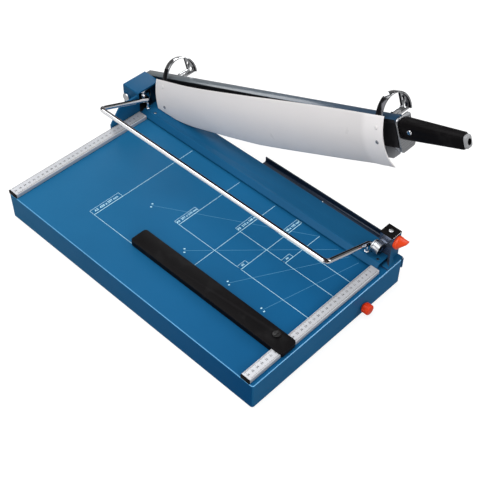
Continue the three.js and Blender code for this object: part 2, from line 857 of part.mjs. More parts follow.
function pivotBracket() {
  const front = tableRear + seatGap;
  const rear = front + bracketPlate + bracketDepth;
  const left = -bracketWidth;
  const right = -seatGap;
  const plateOutline = [[left - gussetReach, -bracketSkirt], [right, -bracketSkirt], [right, 0],
    [left, 0], [left, gussetTop], [left - gussetShoulder, gussetTop], [left - gussetReach, gussetLow]];
  let bracket = prism(plateOutline, bracketPlate, 'y', front);
  const wallLow = -bracketSkirt;
  const leftWallTop = bracketTop - bracketRoofChamfer;
  const leftWall = block([left, left + bracketSheet], [front, rear], [wallLow, leftWallTop]);
  const rightWall = block([right - bracketSheet, right], [front, rear], [wallLow, bracketTop]);
  bracket = bracket.add(leftWall).add(rightWall);
  const roofUnder = bracketTop - bracketSheet;
  const roof = [[left, bracketTop - bracketRoofChamfer], [left + bracketRoofChamfer, bracketTop],
    [right, bracketTop], [right, roofUnder], [left + bracketRoofChamfer + bracketSheet, roofUnder],
    [left + bracketSheet, roofUnder - bracketRoofChamfer]];
  bracket = bracket.add(prism(roof, rear - front, 'y', front));
  bracket = bracket.add(block([left, right], [rear - bracketSheet, rear], [wallLow, roofUnder]));
  const axle = [left - overrun, pivotY, pivotZ];
  bracket = bracket.subtract(bar(pivotBoltRadius + runGap, bracketWidth + 2 * overrun, 'x', axle));
  for (const [x, z] of bracketBoltPlaces()) {
    const place = [x, front - overrun, z];
    const boltBore = bar(bracketBoltRadius + runGap, 2 * overrun + bracketPlate, 'y', place, smallSides);
    bracket = bracket.subtract(boltBore);
  }
  return bracket;
}

function bracketBolt(x, z) {
  const seat = tableRear + seatGap + bracketPlate + seatGap;
  const shank = bracketPlate + 2 * seatGap + 2 * tableSheet;
  const profile = [[0, -shank], [bracketBoltRadius, -shank], [bracketBoltRadius, 0],
    [bracketBoltHeadRadius, 0], [bracketBoltHeadRadius, bracketBoltHeadHeight], [0, bracketBoltHeadHeight]];
  return turned(profile, 'y', [x, seat, z], 12);
}

part('pivot_bracket', pivotBracket(), darkBlue);
bracketBoltPlaces().forEach(([x, z], count) => part(`bracket_bolt_${count + 1}`, bracketBolt(x, z), steel));

// Arm pivot bolt with its washers and nut

const armLeft = seatGap;
const armRight = armLeft + armWidth;
const springX = armRight + runGap;
const nutX = springX + discWall + discCone + seatGap;

function pivotBolt() {
  const seat = -bracketWidth - seatGap;
  const end = nutX + pivotNutHeight + pivotThreadSpare;
  const profile = [[0, -pivotHeadHeight], [pivotHeadRadius - 1.5 * runGap, -pivotHeadHeight],
    [pivotHeadRadius, -pivotHeadHeight + 1.5 * runGap], [pivotHeadRadius, 0], [pivotBoltRadius, 0],
    [pivotBoltRadius, end - seat], [0, end - seat]];
  return turned(profile, 'x', [seat, pivotY, pivotZ]);
}

function ring(outer, inner, thickness, cone = 0) {
  return [[inner, 0], [outer, cone], [outer, cone + thickness], [inner, thickness], [inner, 0]];
}

const boltBore = pivotBoltRadius + runGap;
const disc = turned(ring(discRadius, boltBore, discWall, discCone), 'x', [springX, pivotY, pivotZ]);
const nutBore = bar(boltBore, pivotNutHeight + 2 * overrun, 'x', [nutX - overrun, pivotY, pivotZ]);
const nut = bar(pivotNutRadius, pivotNutHeight, 'x', [nutX, pivotY, pivotZ], 6).subtract(nutBore);
part('pivot_bolt', pivotBolt(), chrome);
part('disc_spring', disc, blackSteel);
part('pivot_nut', nut, steel);

// Arm, raised about the pivot. Inside it, y runs back from the handle and z is the height above the pivot

const arm = new THREE.Group();
arm.position.set(0, pivotY, pivotZ);
arm.rotation.x = -THREE.MathUtils.degToRad(armAngle);
cutter.add(arm);

const bladeRight = armLeft + bladeThickness;
const bladeTop = armTop - armFlange - bladeTopClearance;

function bladeScrewPlaces() {
  const step = (bladeFront - bladeRear - 2 * bladeScrewInset) / (bladeScrewCount - 1);
  const first = bladeRear + bladeScrewInset;
  return Array.from({ length: bladeScrewCount }, (unused, count) => first + count * step);
}

const bowPlaces = { rear: bowRearPlace, front: bowFrontPlace };
const rivetHeights = { rear: [rivetUpper, rivetRearLower], front: [rivetUpper, rivetFrontLower] };

function armBeam() {
  const webLeft = bladeRight + seatGap;
  const outline = [[armLeft, armTop], [armLeft, armTop - armFlange], [webLeft, armTop - armFlange],
    [webLeft, armWebBottom], [armRight, armWebBottom], [armRight, armTop]];
  let beam = prism(outline, armFront + armRear - armBossRadius, 'y', -armFront);
  const tail = block([armLeft, armRight], [-armBossRadius, armRear], [0, armTop]);
  beam = beam.add(tail);
  beam = beam.add(bar(armBossRadius, armWidth, 'x', [armLeft, 0, 0]));
  for (const place of Object.values(bowPlaces)) {
    const start = place + bowPlateThickness / 2 + runGap;
    const lug = block(
      [armRight - armFlange, bowPivotX + bowEyeRadius],
      [-start - lugLength, -start],
      [bowHeight - bowEyeRadius, bowHeight + bowEyeRadius],
    );
    beam = beam.add(lug).subtract(bar(guardPinRadius + runGap, lugLength + 2 * overrun, 'y',
      [bowPivotX, -start - lugLength - overrun, bowHeight], smallSides));
  }
  beam = beam.subtract(bar(pivotBoltRadius + runGap, armWidth + 2 * overrun, 'x', [armLeft - overrun, 0, 0]));
  for (const place of bladeScrewPlaces()) {
    const start = [armLeft + bladeThickness, -place, 0];
    beam = beam.subtract(bar(bladeScrewRadius + runGap, armWidth, 'x', start, smallSides));
  }
  return beam;
}

// Depth of the cutting edge below the pivot's height, bowed between its two ends
function edgeDepth(share) {
  const ends = bladeRearEdge + (bladeFrontEdge - bladeRearEdge) * share;
  const bow = bladeMidEdge - (bladeRearEdge + bladeFrontEdge) / 2;
  return ends + bow * 4 * share * (1 - share);
}

function upperBlade() {
  const noseStart = bladeFront - bladeNose;
  const section = (s, depth) => {
    const edge = depth + bladeBevel;
    return [new THREE.Vector3(armLeft, -s, bladeTop), new THREE.Vector3(bladeRight, -s, bladeTop),
      new THREE.Vector3(bladeRight, -s, -edge + 3 * bladeBevel),
      new THREE.Vector3(armLeft + bladeThickness / 6, -s, -depth), new THREE.Vector3(armLeft, -s, -depth)];
  };
  const rings = Array.from({ length: bladeSteps + 1 }, (unused, step) => {
    const share = step / bladeSteps;
    return section(bladeRear + (noseStart - bladeRear) * share, edgeDepth(share));
  });
  rings.push(section(bladeFront, bladeFrontEdge - bladeNoseRise));
  let blade = loft(rings);
  for (const place of bladeScrewPlaces()) {
    const start = [armLeft - overrun, -place, 0];
    const boreLength = bladeThickness + 2 * overrun;
    blade = blade.subtract(bar(bladeScrewRadius + runGap, boreLength, 'x', start, smallSides));
  }
  const holeHeight = -(bladeFrontEdge - bladeNoseRise) + bladeHoleRise;
  const hole = [armLeft - overrun, -bladeFront + bladeHoleInset, holeHeight];
  return blade.subtract(bar(bladeHoleRadius, bladeThickness + 2 * overrun, 'x', hole, smallSides));
}

function bladeScrew(place) {
  const seat = armRight + seatGap;
  const shank = seat - armLeft - bladeThickness / 4;
  const profile = [[0, -shank], [bladeScrewRadius, -shank], [bladeScrewRadius, 0], [bladeScrewHeadRadius, 0],
    [bladeScrewHeadRadius, bladeScrewHeadHeight], [0, bladeScrewHeadHeight]];
  return turned(profile, 'x', [seat, -place, 0], smallSides);
}

part('arm_beam', armBeam(), darkBlue, arm);
part('upper_blade', upperBlade(), blackSteel, arm);
bladeScrewPlaces().forEach((place, count) => {
  part(`blade_screw_${count + 1}`, bladeScrew(place), blackSteel, arm);
});

// End plate with the tang that goes into the handle

function endPlate() {
  const outline = roundedOutline([armLeft, armLeft + endPlateWidth], [-endPlateDrop, armTop], endPlateCorner);
  const start = -armFront - seatGap - endPlateThickness;
  const plate = prism(outline, endPlateThickness, 'y', start);
  const tang = block(
    [handleAxisX - tangWidth / 2, handleAxisX + tangWidth / 2],
    [start - tangLength, start + endPlateThickness / 2],
    [-handleRootDrop - tangHeight / 2, -handleRootDrop + tangHeight / 2],
  );
  const screwBore = bar(handleScrewRadius + runGap, tangWidth + 2 * overrun, 'x',
    [handleAxisX - tangWidth / 2 - overrun, start - handleScrewInset, -handleRootDrop], smallSides);
  return plate.add(tang).subtract(screwBore);
}

// Handle, narrowing from its root to its tip

const handleRoot = -armFront - 2 * seatGap - endPlateThickness;
const handleScrewEnd = handleAxisX + tangWidth;

function handleSection(share, inset) {
  const width = handleRootWidth + (handleTipWidth - handleRootWidth) * share - 2 * inset;
  const height = handleRootHeight + (handleTipHeight - handleRootHeight) * share - 2 * inset;
  const drop = handleRootDrop + (handleTipDrop - handleRootDrop) * share;
  const outline = roundedOutline(
    [handleAxisX - width / 2, handleAxisX + width / 2],
    [-drop - height / 2, -drop + height / 2],
    width * handleCornerShare,
    4,
  );
  return outline.map(([x, z]) => new THREE.Vector3(x, handleRoot - handleLength * share, z));
}

function handleScrewSeat() {
  const share = handleScrewInset / handleLength;
  const width = handleRootWidth + (handleTipWidth - handleRootWidth) * share;
  return handleAxisX - width / 2;
}

function handle() {
  const round = handleEndRound / handleLength;
  const rings = [[0, handleEndRound / 2], [round / 2, 0], [1 - round, 0], [1 - round * 0.3, handleEndRound * 0.3],
    [1, handleEndRound]].map(([share, inset]) => handleSection(share, inset));
  const pocket = block(
    [handleAxisX - tangWidth / 2 - runGap, handleAxisX + tangWidth / 2 + runGap],
    [handleRoot - tangLength - runGap, handleRoot + overrun],
    [-handleRootDrop - tangHeight / 2 - runGap, -handleRootDrop + tangHeight / 2 + runGap],
  );
  const screwY = handleRoot + seatGap - handleScrewInset;
  const seat = handleScrewSeat();
  const boreLength = handleScrewEnd + runGap - seat + overrun;
  const borePlace = [seat - overrun, screwY, -handleRootDrop];
  const bore = bar(handleScrewRadius + runGap, boreLength, 'x', borePlace, smallSides);
  const recess = bar(handleScrewHeadRadius + runGap, overrun + handleScrewHeadHeight, 'x',
    [seat - overrun, screwY, -handleRootDrop]);
  const capBore = bar(endCapHoleRadius, endCapLength + overrun, 'y',
    [handleAxisX, handleRoot - handleLength - overrun, -handleTipDrop], smallSides);
  return loft(rings).subtract(pocket).subtract(bore).subtract(recess).subtract(capBore);
}

function handleScrew() {
  const screwY = handleRoot + seatGap - handleScrewInset;
  const seat = handleScrewSeat() + handleScrewHeadHeight - seatGap;
  const reach = handleScrewEnd - seat;
  const profile = [[0, -handleScrewHeadHeight], [handleScrewHeadRadius * 0.7, -handleScrewHeadHeight],
    [handleScrewHeadRadius, -handleScrewHeadHeight / 3], [handleScrewHeadRadius, 0], [handleScrewRadius, 0],
    [handleScrewRadius, reach], [0, reach]];
  return turned(profile, 'x', [seat, screwY, -handleRootDrop], smallSides);
}

function handleEndCap() {
  const tip = handleRoot - handleLength - seatGap;
  const width = handleTipWidth * endCapShare;
  const height = handleTipHeight * endCapShare;
  const ringAt = (y, inset) => roundedOutline(
    [handleAxisX - width / 2 + inset, handleAxisX + width / 2 - inset],
    [-handleTipDrop - height / 2 + inset, -handleTipDrop + height / 2 - inset],
    (width / 2 - inset) * 0.95,
  ).map(([x, z]) => new THREE.Vector3(x, y, z));
  const body = loft([ringAt(tip, 0), ringAt(tip - endCapLength * 0.6, 0), ringAt(tip - endCapLength, 1.5)]);
  const hole = bar(endCapHoleRadius, endCapLength, 'y',
    [handleAxisX, tip - 1.4 * endCapLength, -handleTipDrop], smallSides);
  return body.subtract(hole);
}

part('end_plate', endPlate(), steel, arm);
part('handle', handle(), blackPlastic, arm);
part('handle_screw', handleScrew(), chrome, arm);
part('handle_end_cap', handleEndCap(), capGrey, arm);

// Blade guard

// Radius of the guard's outer face at a share of its length
function guardRadiusAt(along) {
  const narrowed = Math.max(along - guardNarrowShare, 0) / (1 - guardNarrowShare);
  return guardRadius + (guardFrontRadius - guardRadius) * narrowed;
}

// The arc's centre, placed so that a strip inside the guard runs smoothly into the bow's ring
function guardCentreAt(along) {
  const meet = THREE.MathUtils.degToRad(bowMeetAngle);
  const reach = guardRadiusAt(along) - guardThickness - runGap - bowThickness / 2 - bowRadius;
  return [bowPivotX - reach * Math.cos(meet), bowHeight - reach * Math.sin(meet)];
}

// A point of the guard's section at a height, moved inwards by a depth
function guardPoint(along, height, depth) {
  const radius = guardRadiusAt(along);
  const [x, z] = guardCentreAt(along);
  const angle = Math.PI - Math.asin((height - z) / radius);
  return [x + (radius - depth) * Math.cos(angle), z + (radius - depth) * Math.sin(angle)];
}

function guardShareAt(place) {
  return (place - guardRear) / (guardFront - guardRear);
}

// The value of a table of shares at a place between its rows
function shareAt(table, along) {
  const after = Math.max(table.findIndex(([place]) => place >= along), 1);
  const [[start, from], [end, to]] = [table[after - 1], table[after]];
  return from + (to - from) * (along - start) / (end - start);
}

function guardShell() {
  const rings = guardEdgeShares.map(([along, depthShare]) => {
    const y = -(guardRear + (guardFront - guardRear) * along);
    const top = guardTopHeight * shareAt(guardTopShares, along);
    const outer = [];
    const inner = [];
    for (let row = 0; row <= guardRows; row += 1) {
      const height = top - (top + guardDepth * depthShare) * row / guardRows;
      const [outerX, outerZ] = guardPoint(along, height, 0);
      const [innerX, innerZ] = guardPoint(along, height, guardThickness);
      outer.push(new THREE.Vector3(outerX, y, outerZ));
      inner.push(new THREE.Vector3(innerX, y, innerZ));
    }
    return [...outer, ...inner.reverse()];
  });
  let shell = loftStrip(rings);
  for (const [end, place] of Object.entries(bowPlaces)) {
    for (const height of rivetHeights[end]) shell = shell.subtract(rivetHole(place, height));
  }
  return shell;
}

// A loft whose end rings are strips, closed row by row
function loftStrip(rings) {
  const count = rings[0].length;
  const positions = rings.flat().flatMap((point) => [point.x, point.y, point.z]);
  const index = [];
  for (let turn = 0; turn < rings.length - 1; turn += 1) {
    for (let corner = 0; corner < count; corner += 1) {
      const here = turn * count + corner;
      const next = turn * count + (corner + 1) % count;
      index.push(here, next, here + count, next, next + count, here + count);
    }
  }
  const last = (rings.length - 1) * count;
  for (let row = 0; row < count / 2 - 1; row += 1) {
    const across = count - 1 - row;
    index.push(row, across, row + 1, row + 1, across, across - 1);
    index.push(last + row, last + row + 1, last + across, last + row + 1, last + across - 1, last + across);
  }
  const geometry = new THREE.BufferGeometry();
  geometry.setAttribute('position', new THREE.Float32BufferAttribute(positions, 3));
  geometry.setIndex(index);
  const solid = toSolid(geometry);
  return solid.volume() > 0 ? solid : toSolid(flipped(geometry));
}

// Guard bows

function bowOutline(along) {
  const middle = guardThickness + runGap + bowThickness / 2;
  const steps = 10;
  const radius = guardRadiusAt(along) - middle;
  const [x, z] = guardCentreAt(along);
  const footAngle = 180 + THREE.MathUtils.radToDeg(Math.asin((bowFootDrop + z) / radius));
  const foot = arcPoints([x, z], radius, footAngle, bowMeetAngle, steps).slice(0, -1);
  const ringLine = arcPoints([bowPivotX, bowHeight], bowRadius, bowMeetAngle, bowEndAngle, 2 * steps);
  return stripOutline([...foot, ...ringLine], bowThickness);
}

// The outline of a strip of even thickness on both sides of a line of points
function stripOutline(line, thickness) {
  const sides = [[], []];
  line.forEach((point, count) => {
    const before = line[Math.max(count - 1, 0)];
    const after = line[Math.min(count + 1, line.length - 1)];
    const along = new THREE.Vector2(after[0] - before[0], after[1] - before[1]).normalize();
    for (const [side, sign] of [[0, 1], [1, -1]]) {
      const reach = sign * thickness / 2;
      sides[side].push([point[0] - along.y * reach, point[1] + along.x * reach]);
    }
  });
  return [...sides[0], ...sides[1].reverse()];
}

function guardBow(place, heights) {
  const band = prism(bowOutline(guardShareAt(place + bowWidth / 2)), bowWidth, 'y', -place - bowWidth / 2);
  const right = bowPivotX + bowRadius;
  const left = bowPivotX + bowPlateInset;
  const low = bowHeight - bowPlateDrop;
  const high = bowHeight + bowPlateRise;
  const rightAt = (z) => bowPivotX + Math.sqrt(bowRadius ** 2 - (z - bowHeight) ** 2);
  const outline = [[bowPivotX, low], [rightAt(low), low], [right, bowHeight],
    [rightAt((bowHeight + high) / 2), (bowHeight + high) / 2], [rightAt(high), high],
    [left, high], [left, bowHeight + bowPlateDrop], [bowPivotX, bowHeight + bowPlateDrop]];
  const middle = (left + right) / 2;
  const holes = [
    roundHole([middle, bowHeight + bowPlateDrop / 2], bowLargeHole),
    roundHole([middle - bowSmallHole, bowHeight + bowPlateRise * 0.6], bowSmallHole),
  ];
  const plateStart = -place - bowPlateThickness / 2;
  const plate = prism(outline, bowPlateThickness, 'y', plateStart, holes);
  const eye = bar(bowEyeRadius, bowPlateThickness, 'y', [bowPivotX, plateStart, bowHeight]);
  const bore = bar(guardPinRadius + runGap, bowWidth + 2 * overrun, 'y',
    [bowPivotX, -place - bowWidth / 2 - overrun, bowHeight], smallSides);
  let bow = band.add(plate).add(eye).subtract(bore);
  for (const height of heights) bow = bow.subtract(rivetHole(place, height));
  return bow;
}

function guardPin(place) {
  const head = -place + bowPlateThickness / 2 + seatGap;
  const reach = bowPlateThickness + 2 * seatGap + runGap + lugLength + guardPinSpare;
  const profile = [[0, -reach], [guardPinRadius, -reach], [guardPinRadius, 0], [guardPinHeadRadius, 0],
    [guardPinHeadRadius, guardPinHeadLength], [0, guardPinHeadLength]];
  return turned(profile, 'y', [bowPivotX, head, bowHeight], smallSides);
}

// A profile turned about the line that goes squarely through the guard at a place and a height
function acrossGuard(profile, place, height) {
  const along = guardShareAt(place);
  const outside = guardPoint(along, height, 0);
  const inside = guardPoint(along, height, guardThickness);
  const inward = new THREE.Vector3(inside[0] - outside[0], 0, inside[1] - outside[1]).normalize();
  const geometry = new THREE.LatheGeometry(profile.map(([r, h]) => new THREE.Vector2(r, h)), 12);
  geometry.applyQuaternion(new THREE.Quaternion().setFromUnitVectors(new THREE.Vector3(0, 1, 0), inward));
  geometry.translate(outside[0], -place, outside[1]);
  return toSolid(geometry);
}

function rivetHole(place, height) {
  const radius = rivetRadius + runGap;
  const end = guardThickness + runGap + bowThickness + overrun;
  return acrossGuard([[0, -overrun], [radius, -overrun], [radius, end], [0, end]], place, height);
}

function rivet(place, height) {
  const grip = guardThickness + runGap + bowThickness + seatGap;
  const rim = rivetHeadRadius * rivetRimShare;
  const profile = [[0, -seatGap - rivetHeadHeight], [rim, -seatGap - rivetHeadHeight],
    [rivetHeadRadius, -seatGap], [rivetRadius, -seatGap], [rivetRadius, grip], [rivetHeadRadius, grip],
    [rim, grip + rivetHeadHeight], [0, grip + rivetHeadHeight]];
  return acrossGuard(profile, place, height);
}

part('guard_shell', guardShell(), paleGrey, arm);
for (const [end, place] of Object.entries(bowPlaces)) {
  part(`guard_bow_${end}`, guardBow(place, rivetHeights[end]), chrome, arm);
  part(`guard_pin_${end}`, guardPin(place), steel, arm);
  rivetHeights[end].forEach((height, count) => {
    part(`guard_rivet_${end}_${count + 1}`, rivet(place, height), steel, arm);
  });
}

// Front bracket: a folded steel post on a foot plate, with a cap and the lock lever

const footPlateTop = seatGap + footPlateThickness;

function frontBracket() {
  const right = -postRight;
  const post = block([postLeftX, right], [-postFront, postRear], [seatGap, postHeight]);
  const hollow = block(
    [postLeftX + postSheet, right - postSheet],
    [-postFront + postSheet, postRear + overrun],
    [seatGap - overrun, postHeight - postSheet],
  );
  const plateDepth = [-footPlateFront, -postFront + postSheet];
  const plate = block([-footPlateLeft, right], plateDepth, [seatGap, footPlateTop]);
  const leverBore = bar(leverPinRadius + runGap, 2 * overrun, 'y',
    [leverPivotX, -postFront - overrun, leverPivotZ], smallSides);
  const capBore = bar(capScrewRadius + runGap, 2 * overrun, 'z',
    [(postLeftX + right) / 2, (postRear - postFront) / 2, postHeight - overrun], smallSides);
  const low = seatGap + footPlateThickness / 2;
  const inner = postLeftX + webInset;
  const rear = -postFront + webInset;
  const front = -footPlateFront + webInset;
  const web = wasm.Manifold.hull([[inner, rear, webTop], [inner, rear, low], [inner, front, low],
    [postLeftX - webFoot, front, low], [postLeftX - webFoot / 2, rear, low]]);
  return post.subtract(hollow).add(plate).add(web).subtract(leverBore).subtract(capBore);
}

function bracketCap() {
  const right = -postRight;
  const low = postHeight + seatGap;
  const outline = roundedOutline([postLeftX - capOverhang, right + capOverhang],
    [-postFront - capOverhang, postRear + capOverhang], 1.5 * capOverhang);
  const bore = bar(capScrewRadius + runGap, 2 * overrun, 'z',
    [(postLeftX + right) / 2, (postRear - postFront) / 2, low - overrun], smallSides);
  return prism(outline, capThickness, 'z', low).subtract(bore);
}

function capScrew() {
  const seat = postHeight + seatGap + capThickness + seatGap;
  const shank = capThickness + 2 * seatGap + 2 * postSheet;
  const profile = [[0, -shank], [capScrewRadius, -shank], [capScrewRadius, 0], [capScrewHeadRadius, 0],
    [capScrewHeadRadius, capScrewHeadHeight / 2], [capScrewHeadRadius / 2, capScrewHeadHeight],
    [0, capScrewHeadHeight]];
  return turned(profile, 'z', [(postLeftX - postRight) / 2, (postRear - postFront) / 2, seat], smallSides);
}

function lockLever() {
  const face = -postFront - seatGap;
  const hub = bar(leverRadius, leverHub, 'y', [leverPivotX, face - leverHub, leverPivotZ]);
  const oval = (y, shift, rise, half, thick) => Array.from({ length: roundSides }, (unused, side) => {
    const angle = 2 * Math.PI * side / roundSides;
    const x = leverPivotX + shift + half * Math.cos(angle);
    return new THREE.Vector3(x, y, leverPivotZ + rise + thick * Math.sin(angle));
  });
  const beak = loft([
    oval(face - leverHub / 2, 0, 0, leverRadius * leverRootShare, leverRadius * leverRootShare),
    oval(face - leverHub, 0, 0, leverRadius * leverRootShare, leverRadius * leverRootShare),
    oval(face - leverHub - leverReach, leverTipShift, leverTipRise, leverTipHalf, leverTipThick),
  ]);
  const bore = bar(leverPinRadius + runGap, leverHub / 2 + overrun, 'y',
    [leverPivotX, face - leverHub / 2, leverPivotZ], smallSides);
  return hub.add(beak).subtract(bore);
}

function leverPin() {
  const start = -postFront - seatGap - leverHub / 2 + seatGap;
  const wallBack = -postFront + postSheet + seatGap;
  const profile = [[0, 0], [leverPinRadius, 0], [leverPinRadius, wallBack - start],
    [leverPinHeadRadius, wallBack - start], [leverPinHeadRadius, leverPinLength], [0, leverPinLength]];
  return turned(profile, 'y', [leverPivotX, start, leverPivotZ], smallSides);
}

part('front_bracket', frontBracket(), darkBlue);
part('bracket_cap', bracketCap(), blackPlastic);
part('cap_screw', capScrew(), chrome);
part('lock_lever', lockLever(), redPlastic);
part('lock_lever_pin', leverPin(), steel);

// Backstop that slides along the front scale, with a cam knob that clamps it

const stopRight = stopLeft + stopWidth;
const stopKnobX = stopRight - stopCorner - stopKnobRadius;
const stopKnobY = frontScaleRearY + runGap + stopCamRadius + (stopCamRadius - stopStemRadius);
const camOffset = stopCamRadius - stopStemRadius;

function backstop() {
  const front = frontScaleFrontY - runGap - stopHook;
  const outline = roundedOutline([stopLeft, stopRight], [front, stopRear], stopCorner);
  let body = prism(outline, stopHeight - stopLift, 'z', stopLift);
  body = body.subtract(block(
    [stopLeft - overrun, stopRight + overrun],
    [frontScaleFrontY - runGap, frontScaleRearY + runGap],
    [-overrun, scaleTop + runGap],
  ));
  body = body.subtract(block(
    [stopLeft - overrun, stopRight + overrun],
    [front - overrun, frontScaleRearY],
    [-overrun, scaleTop - stopHookDrop],
  ));
  const pocketRadius = stopCamRadius + camOffset + runGap;
  body = body.subtract(bar(pocketRadius, stopLift + stopCamThickness + 2 * runGap, 'z',
    [stopKnobX, stopKnobY, 0]));
  return body.subtract(bar(stopStemRadius + runGap, stopHeight + overrun, 'z',
    [stopKnobX, stopKnobY, 0], smallSides));
}

function backstopKnob() {
  const low = stopLift;
  const cam = bar(stopCamRadius, stopCamThickness, 'z', [stopKnobX, stopKnobY - camOffset, low]);
  const seat = stopHeight + seatGap;
  const stemLength = seat - low + stopKnobHeight / 2;
  const stem = bar(stopStemRadius, stemLength, 'z', [stopKnobX, stopKnobY, low], smallSides);
  const disc = bar(stopKnobRadius, stopKnobHeight, 'z', [stopKnobX, stopKnobY, seat]);
  const rib = block(
    [stopKnobX - stopKnobRadius * 0.85, stopKnobX + stopKnobRadius * 0.85],
    [stopKnobY - stopKnobRibWidth / 2, stopKnobY + stopKnobRibWidth / 2],
    [seat, seat + stopKnobHeight + stopKnobRib],
  );
  return cam.add(stem).add(disc).add(rib);
}

part('backstop', backstop(), blackPlastic);
part('backstop_knob', backstopKnob(), blackPlastic);

// Strip gauge: a folded rail on two rods that slide in guide blocks under the table

function stripRail() {
  const outer = gaugeInner + gaugeWidth;
  const low = gaugeTop - gaugeUpright;
  const flangeTop = low + gaugeSheet;
  const outline = [[gaugeInner, low], [outer, low], [outer, gaugeTop], [outer - gaugeSheet, gaugeTop],
    [outer - gaugeSheet, flangeTop + gaugeBend], [outer - gaugeSheet - gaugeBend, flangeTop],
    [gaugeInner, flangeTop]];
  let rail = prism(outline, gaugeRear - gaugeFront, 'y', gaugeFront);
  rail = rail.subtract(block(
    [gaugeInner - overrun, gaugeInner + gaugeNotchDepth],
    [gaugeNotchPlace, gaugeNotchPlace + gaugeNotchWidth],
    [low - overrun, flangeTop + overrun],
  ));
  const tabLow = gaugeRodZ - gaugeRodRadius;
  for (const y of gaugeRodYs) {
    const tabYs = [y - gaugeTabWidth / 2, y + gaugeTabWidth / 2];
    const tabOutline = roundedOutline(tabYs, [tabLow - gaugeSheet, flangeTop], gaugeSheet);
    rail = rail.add(prism(tabOutline, gaugeTabThickness, 'x', gaugeTabX));
    const bore = bar(gaugeRodNeckRadius + runGap, gaugeTabThickness + 2 * overrun, 'x',
      [gaugeTabX - overrun, y, gaugeRodZ], smallSides);
    rail = rail.subtract(bore);
  }
  return rail;
}

function gaugeRod(y) {
  const end = gaugeTabX - seatGap;
  const neck = end + gaugeTabThickness + 2 * seatGap;
  const profile = [[0, end - gaugeRodLength], [gaugeRodRadius, end - gaugeRodLength], [gaugeRodRadius, end],
    [gaugeRodNeckRadius, end], [gaugeRodNeckRadius, neck], [gaugeRodRadius, neck],
    [gaugeRodRadius, neck + gaugeRodHeadLength], [0, neck + gaugeRodHeadLength]];
  return turned(profile, 'x', [0, y, gaugeRodZ]);
}

function guideBlock(y, drilled) {
  const solid = block(
    [gaugeKnobX - guideBlockLength / 2, gaugeKnobX + guideBlockLength / 2],
    [y - guideBlockWidth / 2, y + guideBlockWidth / 2],
    [-guideBlockDrop, -tableSheet - seatGap],
  );
  const rodBore = bar(gaugeRodRadius + runGap, guideBlockLength + 2 * overrun, 'x',
    [gaugeKnobX - guideBlockLength / 2 - overrun, y, gaugeRodZ]);
  const bored = solid.subtract(rodBore);
  if (!drilled) return bored;
  const spindleBore = bar(gaugeSpindleRadius + runGap, guideBlockWidth / 2 + overrun, 'y',
    [gaugeKnobX, y - guideBlockWidth / 2 - overrun, gaugeRodZ], smallSides);
  return bored.subtract(spindleBore);
}

function gaugeKnob() {
  const face = tableFront - seatGap;
  const tip = gaugeRodYs[0] - gaugeRodRadius - seatGap;
  const start = face - gaugeKnobLength;
  const reach = face - start;
  const profile = [[0, 0], [gaugeKnobRadius - gaugeKnobFluteRadius, 0],
    [gaugeKnobRadius, gaugeKnobFluteRadius], [gaugeKnobRadius, reach - gaugeKnobRootLength],
    [gaugeKnobRoot, reach - gaugeKnobRootLength], [gaugeKnobRoot, reach], [gaugeSpindleRadius, reach],
    [gaugeSpindleRadius, tip - start], [0, tip - start]];
  let knob = turned(profile, 'y', [gaugeKnobX, start, gaugeRodZ]);
  for (let flute = 0; flute < gaugeKnobFlutes; flute += 1) {
    const angle = 2 * Math.PI * (flute + 0.5) / gaugeKnobFlutes;
    const reachOut = gaugeKnobRadius + gaugeKnobFluteRadius * 0.4;
    const fluteX = gaugeKnobX + reachOut * Math.cos(angle);
    const place = [fluteX, start - overrun, gaugeRodZ + reachOut * Math.sin(angle)];
    const length = overrun + reach - gaugeKnobRootLength - gaugeKnobFluteRadius;
    knob = knob.subtract(bar(gaugeKnobFluteRadius, length, 'y', place, 8));
  }
  return knob;
}

part('strip_gauge_rail', stripRail(), blackSteel);
gaugeRodYs.forEach((y, count) => {
  const end = ['front', 'rear'][count];
  part(`gauge_rod_${end}`, gaugeRod(y), steel);
  part(`gauge_guide_${end}`, guideBlock(y, count === 0), aluminium);
});
part('gauge_knob', gaugeKnob(), redPlastic);

// The group's origin is under the middle of the whole cutter, on the floor

group.updateMatrixWorld(true);
const whole = new THREE.Box3().setFromObject(group, true);
const middle = whole.getCenter(new THREE.Vector3());
cutter.position.set(-middle.x, -middle.y, -whole.min.z);

export default group;
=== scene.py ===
"""The looks of a guillotine paper cutter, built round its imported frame, in metres.

Table places are in millimetres: u to the right of the cut line, v back from the paper stop and w
above the table top. So are arm places: x to the right of the cut line, s from the pivot towards the
handle and h square to the arm, above the pivot. Roundings are in millimetres too.
"""
import json
import math

import bmesh
import bpy
from mathutils import Matrix, Vector

